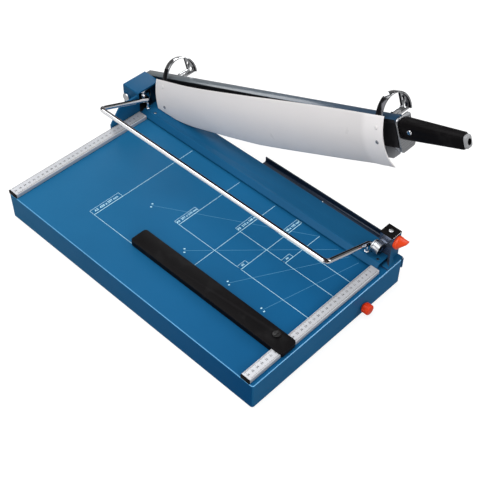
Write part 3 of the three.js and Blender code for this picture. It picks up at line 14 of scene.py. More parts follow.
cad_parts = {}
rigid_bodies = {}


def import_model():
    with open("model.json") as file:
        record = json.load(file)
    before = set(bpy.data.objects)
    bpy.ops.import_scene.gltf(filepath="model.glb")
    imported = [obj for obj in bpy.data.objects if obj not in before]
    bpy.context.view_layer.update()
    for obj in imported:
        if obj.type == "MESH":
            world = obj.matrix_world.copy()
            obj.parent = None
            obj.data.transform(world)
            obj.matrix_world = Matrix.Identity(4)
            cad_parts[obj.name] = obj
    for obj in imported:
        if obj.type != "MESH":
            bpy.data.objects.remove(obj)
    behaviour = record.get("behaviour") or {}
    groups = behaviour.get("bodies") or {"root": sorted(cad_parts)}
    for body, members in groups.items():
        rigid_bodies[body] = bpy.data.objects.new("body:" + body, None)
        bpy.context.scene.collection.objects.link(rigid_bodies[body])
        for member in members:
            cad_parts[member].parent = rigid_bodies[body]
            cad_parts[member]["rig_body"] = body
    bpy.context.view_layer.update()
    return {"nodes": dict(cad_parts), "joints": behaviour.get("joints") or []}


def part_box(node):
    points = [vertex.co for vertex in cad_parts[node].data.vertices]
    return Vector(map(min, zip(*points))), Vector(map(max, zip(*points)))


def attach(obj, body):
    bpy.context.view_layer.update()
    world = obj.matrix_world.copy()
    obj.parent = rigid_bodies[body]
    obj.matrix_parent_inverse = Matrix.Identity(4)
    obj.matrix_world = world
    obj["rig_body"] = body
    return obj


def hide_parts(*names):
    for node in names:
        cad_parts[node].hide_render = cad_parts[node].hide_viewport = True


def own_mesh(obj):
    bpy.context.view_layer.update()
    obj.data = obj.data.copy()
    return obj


bl_info = {
    "name": "Paper Cutter Looks",
    "version": (1, 0, 0),
    "blender": (4, 5, 0),
    "location": "View3D > Sidebar > Cutter",
    "description": "Dresses a guillotine paper cutter round its frame",
    "category": "Object",
}

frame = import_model()
JOINTS = {joint["name"]: joint for joint in frame["joints"]}
MM = 0.001
SCALE_INSET = 3.2 * MM  # from the front scale bar to the paper stop
ON_EDGE = 1 * MM  # a face nearer than this to a piece's edge lies on it

# Places that the frame gives
CUT_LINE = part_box("bed_knife")[1].x
TABLE_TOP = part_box("bed_knife")[1].z
PAPER_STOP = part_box("front_scale_bar")[1].y + SCALE_INSET
PIVOT = Vector(JOINTS["arm_swing"]["pos_m"])
ARM_TILT = math.radians(JOINTS["arm_swing"]["range_deg"][1])
ARM_AHEAD = Vector((0, -math.cos(ARM_TILT), math.sin(ARM_TILT)))
ARM_UP = Vector((0, math.sin(ARM_TILT), math.cos(ARM_TILT)))


def on_table(u, v, w=0.0):
    """A table place as a point of the frame."""
    return Vector((CUT_LINE + u * MM, PAPER_STOP + v * MM, TABLE_TOP + w * MM))


def on_arm(x, s, h):
    """An arm place as a point of the frame, where the arm is raised."""
    y = -s * math.cos(ARM_TILT) + h * math.sin(ARM_TILT)
    z = s * math.sin(ARM_TILT) + h * math.cos(ARM_TILT)
    return Vector((CUT_LINE + x * MM, PIVOT.y + y * MM, PIVOT.z + z * MM))


# Settings


class CutterPaint(bpy.types.PropertyGroup):
    """Colours of the painted and moulded pieces"""

    table: bpy.props.FloatVectorProperty(
        name="Table blue", description="Powder coat of the table",
        subtype="COLOR", size=3, min=0, max=1, default=(0.012, 0.145, 0.315))
    fitting: bpy.props.FloatVectorProperty(
        name="Fitting blue", description="Powder coat of the press beam and the brackets",
        subtype="COLOR", size=3, min=0, max=1, default=(0.008, 0.100, 0.230))
    guard: bpy.props.FloatVectorProperty(
        name="Guard grey", description="Paint of the blade guard",
        subtype="COLOR", size=3, min=0, max=1, default=(0.79, 0.765, 0.765))
    moulding: bpy.props.FloatVectorProperty(
        name="Black moulding", description="Plastic of the handle, backstop and plugs",
        subtype="COLOR", size=3, min=0, max=1, default=(0.005, 0.0045, 0.005))
    signal: bpy.props.FloatVectorProperty(
        name="Signal red", description="Plastic of the lock lever",
        subtype="COLOR", size=3, min=0, max=1, default=(0.9, 0.07, 0.012))
    print_ink: bpy.props.FloatVectorProperty(
        name="Table print", description="Ink of the paper outlines",
        subtype="COLOR", size=3, min=0, max=1, default=(0.55, 0.88, 1.0))


class CutterSizes(bpy.types.PropertyGroup):
    """Sizes of the print on the table and on the scale bars"""

    line_width: bpy.props.FloatProperty(
        name="Line width", description="Width of a printed paper outline",
        unit="LENGTH", precision=5, min=0.1 * MM, max=3 * MM, default=0.7 * MM)
    faint_width: bpy.props.FloatProperty(
        name="Faint line width", description="Width of a printed angle line",
        unit="LENGTH", precision=5, min=0.1 * MM, max=3 * MM, default=0.55 * MM)
    ink_height: bpy.props.FloatProperty(
        name="Ink height", description="Height of the print above its surface",
        unit="LENGTH", precision=5, min=0.01 * MM, max=0.2 * MM, default=0.06 * MM)
    tick_width: bpy.props.FloatProperty(
        name="Tick width", description="Width of a graduation",
        unit="LENGTH", precision=5, min=0.1 * MM, max=1 * MM, default=0.36 * MM)
    digit_height: bpy.props.FloatProperty(
        name="Digit height", description="Height of a scale number",
        unit="LENGTH", precision=5, min=1 * MM, max=8 * MM, default=3.6 * MM)


# Meshes

CREASE = math.radians(32)  # a sharper edge is drawn as a crease
FOLD = math.radians(34)  # a sharper edge is rounded off
SAME_PLACE = 0.004 * MM  # corners nearer than this are one
SAME_PLANE = math.radians(0.6)  # faces turned less than this are one
EM = 1.38  # a letter's size for a capital of height 1


def linked(name, data):
    """A new object of the scene."""
    thing = bpy.data.objects.new(name, data)
    bpy.context.scene.collection.objects.link(thing)
    return thing


def to_mesh(shape, name):
    """A bmesh as a mesh, after which the bmesh is gone."""
    mesh = bpy.data.meshes.new(name)
    shape.to_mesh(mesh)
    shape.free()
    return mesh


def finished(name, mesh, body, looks, replaces=(), crease=CREASE):
    """Links a mesh or bmesh as a piece of the cutter, with its finishes and the body it rides on.

    Looks is a finish's name, or several in the order of the faces' material indices.
    """
    if isinstance(mesh, bmesh.types.BMesh):
        mesh = to_mesh(mesh, name)
    looks = [looks] if isinstance(looks, str) else looks
    indices = [min(face.material_index, len(looks) - 1) for face in mesh.polygons]
    mesh.materials.clear()
    for look in looks:
        mesh.materials.append(finish(look))
    mesh.polygons.foreach_set("material_index", indices)
    mesh.shade_smooth()
    mesh.set_sharp_from_angle(angle=crease)
    piece = linked(name, mesh)
    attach(piece, body)
    if replaces:
        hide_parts(*replaces)
    return piece


def baked(holder, name):
    """The mesh that a holder's modifiers give, after which the holder is gone."""
    shown = holder.evaluated_get(bpy.context.evaluated_depsgraph_get())
    mesh = bpy.data.meshes.new_from_object(shown)
    mesh.name = name
    data = holder.data
    bpy.data.objects.remove(holder)
    if data.users == 0 and isinstance(data, bpy.types.Mesh):
        bpy.data.meshes.remove(data)
    return mesh


def rounded(mesh, width, segments=2, limit=FOLD):
    """The mesh with its edges rounded off."""
    mesh.shade_smooth()
    holder = linked("rounding", mesh)
    bevel = holder.modifiers.new("Round", "BEVEL")
    bevel.width = width * MM
    bevel.segments = segments
    bevel.limit_method = "ANGLE"
    bevel.angle_limit = limit
    bevel.use_clamp_overlap = True
    bevel.harden_normals = True
    bevel.miter_outer = "MITER_ARC"
    return baked(holder, mesh.name)


def merged_copy(node):
    """A copy of a frame node's mesh with shared corners and whole flat faces."""
    shape = bmesh.new()
    shape.from_mesh(frame["nodes"][node].data)
    bmesh.ops.remove_doubles(shape, verts=shape.verts, dist=SAME_PLACE)
    bmesh.ops.dissolve_limit(shape, angle_limit=SAME_PLANE, verts=shape.verts, edges=shape.edges)
    return to_mesh(shape, node + "_look")


def dress(node, looks, width=0.4, segments=2, crease=CREASE, choose=None):
    """Replaces a frame node by a copy with rounded edges and its own finish.

    Where a piece has several finishes, choose tells for each face which one it has.
    """
    mesh = merged_copy(node)
    if width:
        mesh = rounded(mesh, width, segments)
    if choose:
        for face in mesh.polygons:
            face.material_index = int(choose(face))
    body = frame["nodes"][node]["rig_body"]
    return finished(node + "_look", mesh, body, looks, [node], crease)


def write_share(mesh, attribute, share):
    """Gives each point of a mesh a share for a finish to read, from a function of its place."""
    layer = mesh.attributes.new(attribute, "FLOAT", "POINT")
    for point, vertex in zip(layer.data, mesh.vertices):
        point.value = share(vertex.co)


def skin(shape, rings):
    """Adds a closed skin through rings of points, all of the same count, to a bmesh."""
    rows = [[shape.verts.new(point) for point in ring] for ring in rings]
    count = len(rows[0])
    for row, after in zip(rows, rows[1:]):
        for corner in range(count):
            following = (corner + 1) % count
            shape.faces.new((row[corner], row[following], after[following], after[corner]))
    shape.faces.new(rows[0][::-1])
    shape.faces.new(rows[-1])
    return shape


def loft(rings):
    """A new bmesh with a closed skin through rings of points, its faces outwards."""
    shape = skin(bmesh.new(), rings)
    bmesh.ops.recalc_face_normals(shape, faces=shape.faces)
    return shape


def strip(shape, start, end, width, height):
    """Adds a printed line from one table place (u, v) to another, all in millimetres."""
    along = Vector((end[0] - start[0], end[1] - start[1])).normalized()
    side = Vector((-along.y, along.x)) * width / 2
    start, end = Vector(start), Vector(end)
    corners = [start + side, start - side, end - side, end + side]
    skin(shape, [[on_table(*corner, level) for corner in corners] for level in (0.0, height)])


def add_mesh(shape, mesh, place):
    """Moves a mesh to a place, given as a matrix, and into a bmesh."""
    mesh.transform(place)
    shape.from_mesh(mesh)
    bpy.data.meshes.remove(mesh)


def add_lettering(shape, words, height, depth, weight, place):
    """Adds a word, centred on a place and lying flat, its strokes thickened by a weight."""
    curve = bpy.data.curves.new("lettering", "FONT")
    curve.body = words
    curve.size = height * EM
    curve.align_x = "CENTER"
    curve.align_y = "CENTER"
    curve.extrude = depth / 2
    curve.offset = weight
    curve.resolution_u = 2
    mesh = baked(linked("lettering", curve), "lettering")
    bpy.data.curves.remove(curve)
    add_mesh(shape, mesh, Matrix.Translation(place))


# Node trees

FLOAT, COLOUR = "NodeSocketFloat", "NodeSocketColor"
GEOMETRY = [("Geometry", "NodeSocketGeometry")]
SURFACE = [("Colour", COLOUR), ("Roughness", FLOAT), ("Height", FLOAT)]


class TreeMaker:
    """Adds nodes and links to a node tree."""

    def __init__(self, tree):
        self.tree = tree

    def add(self, kind, settings=None, **inputs):
        """A new node, its inputs fed by name, with an underscore for a space."""
        node = self.tree.nodes.new(kind)
        for key, value in (settings or {}).items():
            setattr(node, key, value)
        for key, value in inputs.items():
            self.feed(node, key.replace("_", " "), value)
        return node

    def feed(self, node, key, value):
        """Feeds a node's input, by name or number, with a socket, a node or a plain value."""
        socket = node.inputs[int(key)] if key.isdigit() else node.inputs[key]
        if isinstance(value, bpy.types.NodeSocket):
            self.tree.links.new(value, socket)
        elif isinstance(value, bpy.types.Node):
            self.tree.links.new(value.outputs[0], socket)
        else:
            socket.default_value = value

    def math(self, operation, first, second=0.0):
        """A sum, product or other result of two values."""
        node = self.add("ShaderNodeMath", {"operation": operation}, **{"0": first, "1": second})
        return node.outputs[0]

    def mixed(self, share, first, second):
        """One colour going over into another."""
        node = self.add("ShaderNodeMix", {"data_type": "RGBA"},
                        **{"0": share, "6": first, "7": second})
        return node.outputs[2]

    def spread(self, value, low, high, start=0.0, end=1.0):
        """A value between low and high, carried over to between start and end."""
        return self.add("ShaderNodeMapRange", Value=value, From_Min=low, From_Max=high,
                        To_Min=start, To_Max=end).outputs[0]

    def place(self):
        """The place on the object."""
        return self.add("ShaderNodeTexCoord").outputs["Object"]

    def seen(self, path):
        """1 where a light path's ray shows the surface itself, not a reflection or its light."""
        return self.math("MAXIMUM", path.outputs["Is Camera Ray"],
                         path.outputs["Is Transmission Ray"])


def new_tree(kind, name, outputs, inputs):
    """The maker, the given inputs and the result node of a new node tree."""
    tree = bpy.data.node_groups.new(name, kind)
    for label, socket_type in outputs:
        tree.interface.new_socket(label, in_out="OUTPUT", socket_type=socket_type)
    for label, socket_type, value in inputs:
        socket = tree.interface.new_socket(label, in_out="INPUT", socket_type=socket_type)
        if value is not None:
            socket.default_value = value
    given = tree.nodes.new("NodeGroupInput").outputs
    return TreeMaker(tree), given, tree.nodes.new("NodeGroupOutput")


# Geometry node trees

ROD_SIDES, BEND_STEPS = 32, 14
WIRE_SIDES, TURN_STEPS = 10, 32
# Lengths of the graduations, as shares: a plain one, and what a fifth and a tenth one have more
PLAIN_MARK, FIFTH_MARK, TENTH_MARK = 0.7, 0.4, 0.5


def end_tree(maker, result, geometry, material):
    """Ends a geometry tree in Realize Instances and Set Material."""
    realized = maker.add("GeometryNodeRealizeInstances", Geometry=geometry)
    painted = maker.add("GeometryNodeSetMaterial", Geometry=realized, Material=material)
    maker.feed(result, "Geometry", painted)
    return maker.tree


def grown(tree, name, values, mesh=None):
    """The mesh that a geometry tree gives for some input values."""
    holder = linked(name, mesh or bpy.data.meshes.new(name))
    modifier = holder.modifiers.new("Grow", "NODES")
    modifier.node_group = tree
    for item in tree.interface.items_tree:
        if item.in_out == "INPUT" and item.name in values:
            modifier[item.identifier] = values[item.name]
    return baked(holder, name)


def swept(maker, curve, radius, sides):
    """A round rod or wire along a curve."""
    section = maker.add("GeometryNodeCurvePrimitiveCircle", Resolution=sides, Radius=radius)
    return maker.add("GeometryNodeCurveToMesh", Curve=curve, Profile_Curve=section, Fill_Caps=True)


def graduation_tree(material):
    """A row of graduations along +X, all from one line: every fifth longer, every tenth longest.

    First is how far the row's first graduation comes after a tenth one.
    """
    maker, given, result = new_tree("GeometryNodeTree", "Graduations", GEOMETRY, [
        ("Count", "NodeSocketInt", 300), ("First", "NodeSocketInt", 0), ("Pitch", FLOAT, MM),
        ("Width", FLOAT, 0.36 * MM), ("Length", FLOAT, 3 * MM), ("Height", FLOAT, 0.06 * MM)])
    step = maker.add("ShaderNodeCombineXYZ", X=given["Pitch"])
    line = maker.add("GeometryNodeMeshLine", Count=given["Count"], Offset=step)
    index = maker.math("ADD", maker.add("GeometryNodeInputIndex"), given["First"])
    share = PLAIN_MARK
    for every, more in ((5.0, FIFTH_MARK), (10.0, TENTH_MARK)):
        marked = maker.math("COMPARE", maker.math("MODULO", index, every))
        share = maker.math("ADD", maker.math("MULTIPLY", marked, more), share)
    size = maker.add("ShaderNodeCombineXYZ", X=given["Width"], Y=given["Length"],
                     Z=given["Height"])
    dash = maker.add("GeometryNodeMeshCube", Size=size)
    lift = maker.add("ShaderNodeCombineXYZ", Y=maker.math("MULTIPLY", given["Length"], 0.5))
    seated = maker.add("GeometryNodeTransform", Geometry=dash, Translation=lift)
    stretch = maker.add("ShaderNodeCombineXYZ", X=1.0, Y=share, Z=1.0)
    row = maker.add("GeometryNodeInstanceOnPoints", Points=line, Instance=seated, Scale=stretch)
    return end_tree(maker, result, row, material)


def rod_tree(material):
    """A round rod along the holder's edges, with its corners filleted."""
    maker, given, result = new_tree("GeometryNodeTree", "Bent rod", GEOMETRY, [
        ("Path", "NodeSocketGeometry", None), ("Radius", FLOAT, 4 * MM), ("Bend", FLOAT, 8 * MM)])
    curve = maker.add("GeometryNodeMeshToCurve", Mesh=given["Path"])
    bent = maker.add("GeometryNodeFilletCurve", {"mode": "POLY"}, Curve=curve, Count=BEND_STEPS,
                     Radius=given["Bend"])
    return end_tree(maker, result, swept(maker, bent, given["Radius"], ROD_SIDES), material)


def coil_tree(material):
    """A coil spring standing on the origin."""
    maker, given, result = new_tree("GeometryNodeTree", "Coil spring", GEOMETRY, [
        ("Turns", FLOAT, 3.0), ("Radius", FLOAT, 4.6 * MM), ("Height", FLOAT, 7.6 * MM),
        ("Wire", FLOAT, 0.5 * MM)])
    spiral = maker.add("GeometryNodeCurveSpiral", Resolution=TURN_STEPS, Rotations=given["Turns"],
                       Start_Radius=given["Radius"], End_Radius=given["Radius"],
                       Height=given["Height"], Reverse=True)
    return end_tree(maker, result, swept(maker, spiral, given["Wire"], WIRE_SIDES), material)


# Shader node groups

BLACK, NEAR_BLACK, WHITE = (0.0, 0.0, 0.0, 1.0), (0.02, 0.02, 0.02, 1.0), (1.0, 1.0, 1.0, 1.0)
WORN_PALE = 0.12  # how much paler than its own colour a moulding is where it is worn
RELIEF = 0.1 * MM


def end_group(maker, given, result, colour, noise, height):
    """Ends a shader group in its colour, a gloss that goes with a noise, and its height."""
    uneven = maker.math("MULTIPLY", maker.math("SUBTRACT", noise, 0.5), given["Gloss Spread"])
    gloss = maker.math("ADD", given["Gloss"], maker.math("MULTIPLY", uneven, 2.0))
    for label, value in (("Colour", colour), ("Roughness", gloss), ("Height", height)):
        maker.feed(result, label, value)
    return maker.tree


def coat_group():
    """Sprayed paint: soft mottling of the colour, orange-peel height and uneven gloss."""
    maker, given, result = new_tree("ShaderNodeTree", "Sprayed coat", SURFACE, [
        ("Colour", COLOUR, (0.1, 0.2, 0.3, 1)), ("Mottle", FLOAT, 0.1),
        ("Peel Scale", FLOAT, 900.0), ("Gloss", FLOAT, 0.35), ("Gloss Spread", FLOAT, 0.06)])
    place = maker.place()
    cloud = maker.add("ShaderNodeTexNoise", Vector=place, Scale=7.0, Detail=3.0)
    mottled = maker.math("MULTIPLY", given["Mottle"], maker.spread(cloud, 0.3, 0.7))
    peel = maker.add("ShaderNodeTexNoise", Vector=place, Scale=given["Peel Scale"], Detail=1.0)
    smear = maker.add("ShaderNodeTexNoise", Vector=place, Scale=26.0, Detail=4.0)
    colour = maker.mixed(mottled, given["Colour"], BLACK)
    return end_group(maker, given, result, colour, smear, peel)


def streak_group():
    """Ground or brushed metal: fine streaks along one direction."""
    maker, given, result = new_tree("ShaderNodeTree", "Metal streaks", SURFACE, [
        ("Colour", COLOUR, (0.6, 0.6, 0.6, 1)),
        ("Stretch", "NodeSocketVector", (30.0, 1500.0, 1500.0)), ("Contrast", FLOAT, 0.15),
        ("Gloss", FLOAT, 0.3), ("Gloss Spread", FLOAT, 0.12)])
    drawn = maker.add("ShaderNodeVectorMath", {"operation": "MULTIPLY"},
                      **{"0": maker.place(), "1": given["Stretch"]})
    streaks = maker.add("ShaderNodeTexNoise", Vector=drawn, Scale=1.0, Detail=3.0)
    dark = maker.math("MULTIPLY", given["Contrast"], streaks)
    colour = maker.mixed(dark, given["Colour"], NEAR_BLACK)
    return end_group(maker, given, result, colour, streaks, streaks)


def grain_group():
    """Moulded plastic, rubber or ink: fine eroded grain with faint handling marks."""
    maker, given, result = new_tree("ShaderNodeTree", "Moulded grain", SURFACE, [
        ("Colour", COLOUR, (0.02, 0.02, 0.02, 1)), ("Grain Scale", FLOAT, 1200.0),
        ("Wear", FLOAT, 0.2), ("Gloss", FLOAT, 0.45), ("Gloss Spread", FLOAT, 0.1)])
    place = maker.place()
    grain = maker.add("ShaderNodeTexVoronoi", Vector=place, Scale=given["Grain Scale"])
    marks = maker.add("ShaderNodeTexNoise", Vector=place, Scale=38.0, Detail=5.0)
    worn = maker.math("MULTIPLY", maker.spread(marks, 0.55, 0.75), given["Wear"])
    pale = maker.mixed(WORN_PALE, given["Colour"], WHITE)
    colour = maker.mixed(worn, given["Colour"], pale)
    return end_group(maker, given, result, colour, marks, grain)


# Finishes

GROUPS = {}
LOOKS = {}


def shader_group(kind):
    """One of the shared shader groups, built once."""
    makers = {"coat": coat_group, "streaks": streak_group, "grain": grain_group}
    if kind not in GROUPS:
        GROUPS[kind] = makers[kind]()
    return GROUPS[kind]


def surface(name, kind, colour, metallic=0.0, bump=0.0, coat=0.0, coat_rough=0.15, specular=0.5,
            **values):
    """A material whose Principled shader reads a shared group, with values for its inputs."""
    material = bpy.data.materials.new(name)
    material.use_nodes = True
    maker = TreeMaker(material.node_tree)
    shader = maker.tree.nodes["Principled BSDF"]
    group = maker.add("ShaderNodeGroup", {"node_tree": shader_group(kind)},
                      Colour=(*colour, 1.0))
    for key, value in values.items():
        maker.feed(group, key.replace("_", " ").title(), value)
    if bump:
        relief = maker.add("ShaderNodeBump", Strength=bump, Distance=RELIEF,
                           Height=group.outputs["Height"])
        maker.feed(shader, "Normal", relief)
    for key, value in (
            ("Base Color", group.outputs["Colour"]), ("Roughness", group.outputs["Roughness"]),
            ("Metallic", metallic), ("Coat Weight", coat), ("Coat Roughness", coat_rough),
            ("Specular IOR Level", specular)):
        maker.feed(shader, key, value)
    return material


def go_over(look, attribute, colour, sheen_share=1.0):
    """Lets a finish go over into another colour, of less sheen, by a piece's attribute."""
    tree = LOOKS[look].node_tree
    maker, shader = TreeMaker(tree), tree.nodes["Principled BSDF"]
    group = next(node for node in tree.nodes if node.bl_idname == "ShaderNodeGroup")
    share = maker.add("ShaderNodeAttribute", {"attribute_name": attribute}).outputs["Fac"]
    kept = maker.math("SUBTRACT", 1.0, maker.math("MULTIPLY", share, 1.0 - sheen_share))
    sheen = shader.inputs["Specular IOR Level"].default_value
    maker.feed(shader, "Specular IOR Level", maker.math("MULTIPLY", kept, sheen))
    own = group.inputs["Colour"].default_value[:]
    maker.feed(group, "Colour", maker.mixed(share, own, (*colour, 1.0)))


def make_looks():
    """All the cutter's finishes, from the paint settings."""
    paint = bpy.context.scene.cutter_paint
    LOOKS.update(
        table=surface("Table powder coat", "coat", paint.table, bump=0.1, specular=0.11,
                      gloss=0.45, mottle=0.12),
        # Painted highlight along the table's top fold
        bend=surface("Table fold painted highlight", "coat", (0.16, 0.46, 0.78), bump=0.1, specular=0.5,
                     gloss=0.25, mottle=0.1),
        fitting=surface("Fitting powder coat", "coat", paint.fitting, bump=0.1, specular=0.09,
                        gloss=0.4, mottle=0.15),
        # Painted shade inside the pivot bracket's hood
        dark=surface("Painted hood shade", "coat", (0.004, 0.012, 0.025), bump=0.1, specular=0.15,
                     gloss=0.5, mottle=0.2),
        arm=surface("Arm powder coat", "coat", (0.004, 0.045, 0.105), bump=0.1, coat=0.3,
                    coat_rough=0.12, specular=0.3, gloss=0.3, mottle=0.15),
        guard=surface("Guard paint", "coat", paint.guard, bump=0.05, specular=0.45, gloss=0.3,
                      mottle=0.05, peel_scale=500.0),
        moulding=surface("Black moulding", "grain", paint.moulding, bump=0.12, specular=0.05,
                         gloss=0.38, wear=0.06),
        knob=surface("Polished moulding", "grain", paint.moulding, bump=0.05, specular=0.3,
                     gloss=0.25, wear=0.05),
        # Painted highlight along the backstop's upper edges
        worn_edge=surface("Moulding edge painted highlight", "grain", (0.06, 0.05, 0.047), bump=0.05,
                          specular=0.5, gloss=0.3),
        signal=surface("Signal plastic", "grain", paint.signal, bump=0.05, specular=0.3,
                       gloss=0.3, wear=0.1),
        deep_signal=surface("Deep red plastic", "grain", (0.80, 0.045, 0.005), bump=0.05,
                            specular=0.2, gloss=0.3, wear=0.1),
        rubber=surface("Foot rubber", "grain", (0.015, 0.015, 0.015), bump=0.3, specular=0.2,
                       gloss=0.8, grain_scale=700.0),
        cap=surface("End cap plastic", "grain", (0.33, 0.335, 0.345), bump=0.12, specular=0.3,
                    gloss=0.45),
        # Painted reflection on the front bracket's left faces
        plate=surface("Bracket side painted reflection", "streaks", (0.22, 0.26, 0.35), metallic=0.8, bump=0.05,
                      gloss=0.22, contrast=0.3, stretch=(60.0, 60.0, 20.0)),
        rail=surface("Navy coated steel", "streaks", (0.004, 0.016, 0.042), metallic=0.1,
                     bump=0.08, specular=0.3, gloss=0.3),
        aluminium=surface("Matt aluminium", "streaks", (0.56, 0.57, 0.60), metallic=0.3,
                          bump=0.08, gloss=0.5, contrast=0.14),
        steel=surface("Ground steel", "streaks", (0.42, 0.43, 0.45), metallic=1.0, bump=0.1,
                      gloss=0.28),
        knife=surface("Blade steel", "streaks", (0.50, 0.52, 0.55), metallic=1.0, bump=0.12,
                      gloss=0.24, stretch=(900.0, 900.0, 30.0)),
        black_steel=surface("Blackened steel", "streaks", (0.012, 0.012, 0.014), metallic=0.2,
                            bump=0.08, specular=0.3, gloss=0.32),
        chrome=surface("Chrome", "streaks", (0.84, 0.85, 0.87), metallic=1.0, gloss=0.06,
                       gloss_spread=0.02, contrast=0.03),
        # Painted dark reflection on chrome: the front bearing's ends and the bows' left faces
        smoked=surface("Chrome painted dark reflection", "streaks", (0.07, 0.07, 0.078), metallic=1.0, gloss=0.16,
                       contrast=0.3, stretch=(300.0, 300.0, 300.0)),
        bow=surface("Chromed strip", "streaks", (0.60, 0.61, 0.63), metallic=1.0, gloss=0.1,
                    gloss_spread=0.02, contrast=0.1),
        shade=surface("Chrome shade", "streaks", (0.025, 0.021, 0.021), metallic=1.0,
                      gloss=0.12, contrast=0.03),
        glint=surface("Chrome glint", "streaks", (0.98, 0.98, 0.98), metallic=0.1, gloss=0.2,
                      contrast=0.03),
        ink=surface("Pale print", "grain", paint.print_ink, specular=0.2, gloss=0.5),
        faint_ink=surface("Faint print", "grain", (0.10, 0.32, 0.50), specular=0.2, gloss=0.5),
        black_ink=surface("Black print", "grain", (0.03, 0.03, 0.035), specular=0.2, gloss=0.5),
    )
    # Painted light by attribute: guard highlight band, table shade, arm reflection
    go_over("guard", "front_band", (0.90, 0.875, 0.875))
    go_over("table", "side_shade", (0.0, 0.06, 0.19), sheen_share=0.0)
    go_over("arm", "rear_pale", (0.13, 0.15, 0.16))


def finish(look):
    """A finish by its name; all are made when the first one is asked for."""
    if not LOOKS:
        make_looks()
    return LOOKS[look]


# Operators

SHEET, BEND = 2 * MM, 3 * MM  # of the table
TABLE_CREASE = math.radians(6)
# Depth of painted shade on the table: at the front of its top and left side, and on other sides
TOP_SHADE, LEFT_SHADE, SIDE_SHADE = 0.55, 0.85, 0.3


class CUTTER_OT_table(bpy.types.Operator):
    """Dress the table, its feet and its bed knife"""

    bl_idname = "cutter.table"
    bl_label = "Table"

    def execute(self, context):
        low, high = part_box("table_shell")
        # The fold round the top is painted paler than the rest, as a painted highlight
        shell = dress(
            "table_shell", ["table", "bend"], 0, crease=TABLE_CREASE,
            choose=lambda face: 0.5 < face.normal.z < 0.93 and face.center.z > high.z - BEND)

        # Painted shade: the coat darkens towards the front of its top and left side, and a little
        # on other sides
        def shade(place):
            ahead = (high.y - place.y) / (high.y - low.y)
            if place.z >= high.z - SHEET:
                return TOP_SHADE * ahead
            return LEFT_SHADE * ahead if place.x < low.x + ON_EDGE else SIDE_SHADE

        write_share(shell.data, "side_shade", shade)
        for count in range(1, 5):
            dress(f"rubber_foot_{count}", "rubber", 0.6)
        # The bed knife's front end is painted with the table
        dress("bed_knife", ["knife", "table"], 0.15,
              choose=lambda face: face.center.y < low.y + ON_EDGE)
        for count in range(1, 4):
            dress(f"bed_knife_screw_{count}", "black_steel", 0)
        return {"FINISHED"}


# Paper outlines: two table places (u, v) for each line
OUTLINES = [
    ((-297, 0), (-297, 420)), ((-297, 420), (-60, 420)),
    ((-210, 0), (-210, 297)), ((-210, 297), (-60, 297)),
    ((-148, 0), (-148, 210)), ((-297, 210), (-60, 210)),
    ((-105, 0), (-105, 148)), ((-210, 148), (-60, 148)),
    ((-148, 105), (-60, 105)),
]
# Label boxes: left, front, width, depth and words
LABELS = [
    (-297, 420.5, 66, 12, "A3  420 x 297 mm"), (-210, 297.5, 49, 11, "A4  297 x 210 mm"),
    (-148, 210.5, 49, 11, "A5  210 x 148 mm"), (-105, 148.5, 47, 11, "A6  148 x 105 mm"),
    (-210, 148.5, 19, 9, "A5"), (-148, 105.5, 20, 9, "A6"),
]
# A label's line by an outline's, its letters by its depth, and the weight of their strokes
LABEL_LINE, LABEL_LETTER, LABEL_WEIGHT = 0.8, 0.42, 0.12 * MM
# Angle lines for oblique cuts, each with two marks beside its start
ANGLE_LINES = [
    ((-211, 366), (-62, 106)), ((-246, 246), (-62, 62)), ((-246, 142), (-62, 38)),
    ((-248, 63), (-62, 18)),
]
MARK_ASIDE, MARK_HALF, MARK_WIDTH = 4, 1.6, 2.2
FAINT_INK = 0.7  # an angle line's height by the print's


class CUTTER_OT_print(bpy.types.Operator):
    """Print the paper outlines, their labels and the angle lines on the table"""

    bl_idname = "cutter.print"
    bl_label = "Table Print"

    def execute(self, context):
        sizes = context.scene.cutter_sizes
        width, faint_width, height = (
            size / MM for size in (sizes.line_width, sizes.faint_width, sizes.ink_height))
        lines, faint = bmesh.new(), bmesh.new()
        for start, end in OUTLINES:
            strip(lines, start, end, width, height)
        for left, front, wide, deep, words in LABELS:
            right, rear = left + wide, front + deep
            corners = [(left, front), (right, front), (right, rear), (left, rear)]
            for corner, following in zip(corners, corners[1:] + corners[:1]):
                strip(lines, corner, following, width * LABEL_LINE, height)
            add_lettering(lines, words, deep * LABEL_LETTER * MM, sizes.ink_height, LABEL_WEIGHT,
                          on_table(left + wide / 2, front + deep / 2, height / 2))
        for start, end in ANGLE_LINES:
            along = (Vector(end) - Vector(start)).normalized()
            side = Vector((-along.y, along.x))
            for way in (-1, 1):
                middle = Vector(start) + side * MARK_ASIDE * way
                strip(lines, middle - along * MARK_HALF, middle + along * MARK_HALF, MARK_WIDTH,
                      height)
            strip(faint, start, end, faint_width, height * FAINT_INK)
        finished("table_print", lines, "base", "ink")
        finished("table_angle_print", faint, "base", "faint_ink")
        return {"FINISHED"}


# Graduations on the scale bars: how many a row has, the distances from the cut line, in
# millimetres, of the row that runs from it and the row that runs to it, and how far they start
# from a tenth one
ROW_COUNTS = {"front": 301, "rear": 300}
ROW_FROM, ROW_FROM_FIRST = 62, 2
ROW_TO, ROW_TO_FIRST = 361, 9
OWN_MARKS, OTHER_MARKS, MARKS_INSET = 3 * MM, 1.8 * MM, 1.2 * MM
NUMBERED = range(70, 361, 10)
DIGIT_WEIGHT = 0.08 * MM


